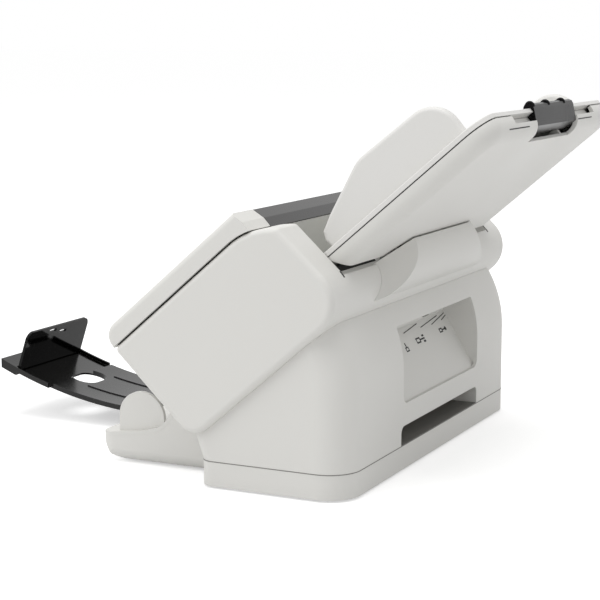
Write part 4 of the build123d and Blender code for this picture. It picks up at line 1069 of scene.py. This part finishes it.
@dataclass
class FeedTray(Assembly):
    """Feed tray with its side guides, rack drive, extension and grip."""

    nodes: dict[str, Finish] = field(
        default_factory=lambda: {
            "tray_plate": WHITE_ABS_FINE,
            "tray_shell": WHITE_ABS,
            "left_guide": WHITE_ABS_FINE,
            "right_guide": WHITE_ABS_FINE,
            "left_rack": GREY_ACETAL,
            "right_rack": GREY_ACETAL,
            "guide_pinion": GREY_ACETAL,
            "tray_extension": WHITE_ABS_FINE,
            "extension_grip": BLACK_ABS,
        }
    )
    groove_n: float = -3.55 * MM
    groove_width: float = 0.68 * MM
    groove_wall: float = 0.5 * MM
    drawer_line_z: float = 224.15 * MM
    drawer_line_y: float = 203.72 * MM
    drawer_lines: tuple[tuple[float, float], ...] = ((59.0, 97.0), (-76.0, -44.0))
    drawer_line_width: float = 0.7 * MM
    drawer_line_thick: float = 0.2 * MM
    drawer_line_corner: float = 0.3 * MM
    hook_x: tuple[float, ...] = (40.0, 9.0, -24.0)
    hook_y: float = 197.4 * MM
    hook_z: float = 235.4 * MM
    hook_radius: float = 2.3 * MM
    hook_wire: float = 1.1 * MM

    def hook(self, x: float) -> bmesh.types.BMesh:
        """One half ring on top of the finger grip.

        Args:
            x: Place across the object.

        Returns:
            The closed half ring.
        """
        shape = bmesh.new()
        bmesh.ops.create_circle(shape, segments=RING_STEPS, radius=self.hook_wire)
        bmesh.ops.translate(shape, verts=shape.verts[:], vec=(self.hook_radius, 0, 0))
        ring = shape.edges[:]
        bmesh.ops.spin(
            shape,
            geom=ring,
            cent=(0, 0, 0),
            axis=(0, 1, 0),
            angle=-math.pi,
            steps=RING_STEPS,
            use_merge=False,
        )
        bmesh.ops.holes_fill(shape, edges=shape.edges[:], sides=0)
        bmesh.ops.recalc_face_normals(shape, faces=shape.faces[:])
        quarter = Matrix.Rotation(math.pi / 2, 4, "Z")
        place = Matrix.Translation((x, self.hook_y, self.hook_z)) @ quarter
        bmesh.ops.transform(shape, matrix=place, verts=shape.verts[:])
        return shape

    def build(self) -> None:
        """Dresses the tray, then adds its dark joint lines and the grip's hooks."""
        super().build()
        joint_and_gap_shade = self.finishes.get(BLACK_JOINT_AND_GAP_SHADE)
        groove_at = path_point(0, self.groove_n)
        groove = contour_band("tray_shell", groove_at, OFF_PATH, self.groove_width)
        add_piece(groove, "tray_joint", "feed_tray", joint_and_gap_shade, self.groove_wall)
        width, thick, corner = (
            self.drawer_line_width,
            self.drawer_line_thick,
            self.drawer_line_corner,
        )
        lines = []
        for low, high in self.drawer_lines:
            at = Vector(((low + high) / 2 * MM, self.drawer_line_y, self.drawer_line_z))
            place = face_matrix(at, -ACROSS, UPRIGHT)
            lines.append(slab((high - low) * MM, width, thick, corner, place))
        add_piece(merged(lines), "drawer_joint", "feed_tray", joint_and_gap_shade)
        hooks = merged([self.hook(x * MM) for x in self.hook_x])
        add_piece(hooks, "grip_hooks", "extension", self.finishes.get(BLACK_ABS))


@dataclass
class Output(Assembly):
    """Foot, side plates, eject tray and stopper."""

    nodes: dict[str, Finish] = field(
        default_factory=lambda: {
            "foot_shell": WHITE_ABS,
            "foot_cover": WHITE_ABS,
            "left_side_plate": WHITE_ABS,
            "right_side_plate": WHITE_ABS,
            "eject_tray": SMOKE_ABS,
            "stopper": STOPPER_ABS,
        }
    )
    face_y: float = -184.3 * MM
    face_z: float = 49.6 * MM
    face_lean: float = math.radians(18.6)
    slots: tuple[tuple[float, float], ...] = ((8.0, 11.6), (-6.0, 9.0))
    slot_length: float = 9.0 * MM
    slot_height: float = 1.9 * MM
    slot_through: float = 9.0 * MM
    slot_corner: float = 0.6 * MM

    def slotted_stopper(self) -> bpy.types.Object:
        """The stopper with its two finger slots cut through.

        Returns:
            The piece that stands for the stopper.
        """
        up = Vector((0, math.sin(self.face_lean), math.cos(self.face_lean)))
        face = Vector((0, self.face_y, self.face_z))
        through = self.slot_through
        back = Matrix.Translation((0, 0, -through / 2))
        cutters = []
        for x, high in self.slots:
            at = face + up * high * MM + ACROSS * x * MM
            place = face_matrix(at, -ACROSS, up) @ back
            cutters.append(
                slab(self.slot_length, self.slot_height, through, self.slot_corner, place)
            )
        data = bpy.data.meshes.new("slot_cutter")
        tool = merged(cutters)
        tool.to_mesh(data)
        tool.free()
        cutter = bpy.data.objects.new("slot_cutter", data)
        bpy.context.scene.collection.objects.link(cutter)
        piece = add_piece(
            clean_copy("stopper"),
            "slotted_stopper",
            "stopper",
            self.finishes.get(STOPPER_ABS),
        )
        cut = piece.modifiers.new("slots", "BOOLEAN")
        cut.operation = "DIFFERENCE"
        cut.solver = "EXACT"
        cut.object = cutter
        bpy.context.view_layer.update()
        seen = piece.evaluated_get(bpy.context.evaluated_depsgraph_get())
        solid = bpy.data.meshes.new_from_object(seen)
        piece.modifiers.clear()
        piece.data = solid
        bpy.data.objects.remove(cutter)
        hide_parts("stopper")
        return piece

    def build(self) -> None:
        """Dresses the output side, then cuts the stopper's slots."""
        super().build()
        self.slotted_stopper()


def seen_as_white(tree: bpy.types.NodeTree) -> bpy.types.NodeSocket:
    """Picks the rays that see the surround as plain white.

    Args:
        tree: Node tree of the floor or the surround.

    Returns:
        A socket that is 1 for camera, glossy and transmission rays, else 0.
    """
    rays = add_node(tree, "ShaderNodeLightPath")
    larger = {"operation": "MAXIMUM"}
    pair = {0: rays.outputs["Is Camera Ray"], 1: rays.outputs["Is Glossy Ray"]}
    seen = add_node(tree, "ShaderNodeMath", larger, pair)
    both = {0: seen.outputs[0], 1: rays.outputs["Is Transmission Ray"]}
    return add_node(tree, "ShaderNodeMath", larger, both).outputs[0]


@dataclass
class Studio:
    """Pale floor, soft lamps and the camera at the photograph's angle."""

    floor_half: float = 30.0
    floor_glow: float = 0.5
    floor_tone: float = 0.8
    floor_roughness: float = 0.9
    sky: float = 0.62
    lamps: tuple[tuple[str, tuple[float, float, float], float, float], ...] = (
        ("key_lamp", (1.5, -1.2, 1.6), 1.2, 14.0),
        ("top_lamp", (0.2, 0.0, 2.2), 1.6, 21.0),
    )
    aim_z: float = 0.1
    sensor_mm: float = 36.0
    sight: float = 100.0
    lens_mm: float = 98.40
    camera_at: tuple[float, float, float] = (1.01676, 0.5122965, 0.27768)
    azimuth_deg: float = 25.795
    tilt_deg: float = 9.116

    def floor(self) -> None:
        """Lays the floor: white to the camera, keeping the object's soft shadow."""
        mesh = bmesh.new()
        bmesh.ops.create_grid(mesh, x_segments=1, y_segments=1, size=self.floor_half)
        data = bpy.data.meshes.new("studio_floor")
        mesh.to_mesh(data)
        mesh.free()
        floor = bpy.data.objects.new("studio_floor", data)
        bpy.context.scene.collection.objects.link(floor)
        material = bpy.data.materials.new("white_seamless_paper")
        material.use_nodes = True
        tree = material.node_tree
        shader = tree.nodes["Principled BSDF"]
        set_inputs(
            shader,
            {
                "Base Color": (self.floor_tone, self.floor_tone, self.floor_tone, 1),
                "Roughness": self.floor_roughness,
                "Specular IOR Level": 0.0,
            },
        )
        glow = add_node(
            tree, "ShaderNodeEmission", inputs={"Color": (1, 1, 1, 1), "Strength": self.floor_glow}
        )
        sum_of = {0: shader.outputs[0], 1: glow.outputs[0]}
        lit = add_node(tree, "ShaderNodeAddShader", inputs=sum_of)
        pick = add_node(
            tree,
            "ShaderNodeMixShader",
            inputs={0: seen_as_white(tree), 1: shader.outputs[0], 2: lit.outputs[0]},
        )
        tree.links.new(pick.outputs[0], tree.nodes["Material Output"].inputs["Surface"])
        data.materials.append(material)

    def sky_light(self) -> None:
        """Sets an even pale surround that the camera sees as white."""
        world = bpy.data.worlds.new("studio_surround")
        bpy.context.scene.world = world
        world.use_nodes = True
        tree = world.node_tree
        tree.nodes.clear()
        white, soft = (
            add_node(
                tree, "ShaderNodeBackground", inputs={"Color": (1, 1, 1, 1), "Strength": strength}
            )
            for strength in (1.0, self.sky)
        )
        pick = add_node(
            tree,
            "ShaderNodeMixShader",
            inputs={0: seen_as_white(tree), 1: soft.outputs[0], 2: white.outputs[0]},
        )
        out = add_node(tree, "ShaderNodeOutputWorld")
        tree.links.new(pick.outputs[0], out.inputs["Surface"])

    def lamp(self, name: str, at: tuple[float, float, float], size: float, watts: float) -> None:
        """Hangs one soft area lamp that faces the object.

        Args:
            name: Name of the lamp.
            at: Its place.
            size: Edge length of its square face.
            watts: Its power.
        """
        data = bpy.data.lights.new(name, "AREA")
        data.size = size
        data.energy = watts
        lamp = bpy.data.objects.new(name, data)
        lamp.location = at
        aim = Vector((0, 0, self.aim_z)) - Vector(at)
        lamp.rotation_euler = aim.to_track_quat("-Z", "Y").to_euler()
        bpy.context.scene.collection.objects.link(lamp)

    def camera(self) -> None:
        """Sets the camera where the photograph was taken from."""
        data = bpy.data.cameras.new("studio_camera")
        data.sensor_width = self.sensor_mm
        data.lens = self.lens_mm
        data.clip_end = self.sight
        camera = bpy.data.objects.new("studio_camera", data)
        turn, tilt = math.radians(self.azimuth_deg), math.radians(self.tilt_deg)
        ahead = Vector(
            (-math.cos(turn) * math.cos(tilt), -math.sin(turn) * math.cos(tilt), -math.sin(tilt))
        )
        camera.location = self.camera_at
        camera.rotation_euler = ahead.to_track_quat("-Z", "Y").to_euler()
        bpy.context.scene.collection.objects.link(camera)
        bpy.context.scene.camera = camera

    def build(self) -> None:
        """Sets up floor, surround, lamps, camera and the view transform."""
        bpy.context.scene.view_settings.view_transform = "Standard"
        self.floor()
        self.sky_light()
        for name, at, size, watts in self.lamps:
            self.lamp(name, at, size, watts)
        self.camera()
        log.info("studio set")


def main() -> None:
    """Builds the sub-assemblies in order, then the studio."""
    logging.basicConfig(level=logging.INFO)
    finishes = Finishes()
    for assembly in (Base, UpperBlock, FrontCover, FeedTray, Output):
        assembly(finishes).build()
        log.info("%s finished", assembly.__name__)
    Studio().build()


if __name__ == "__main__":
    main()
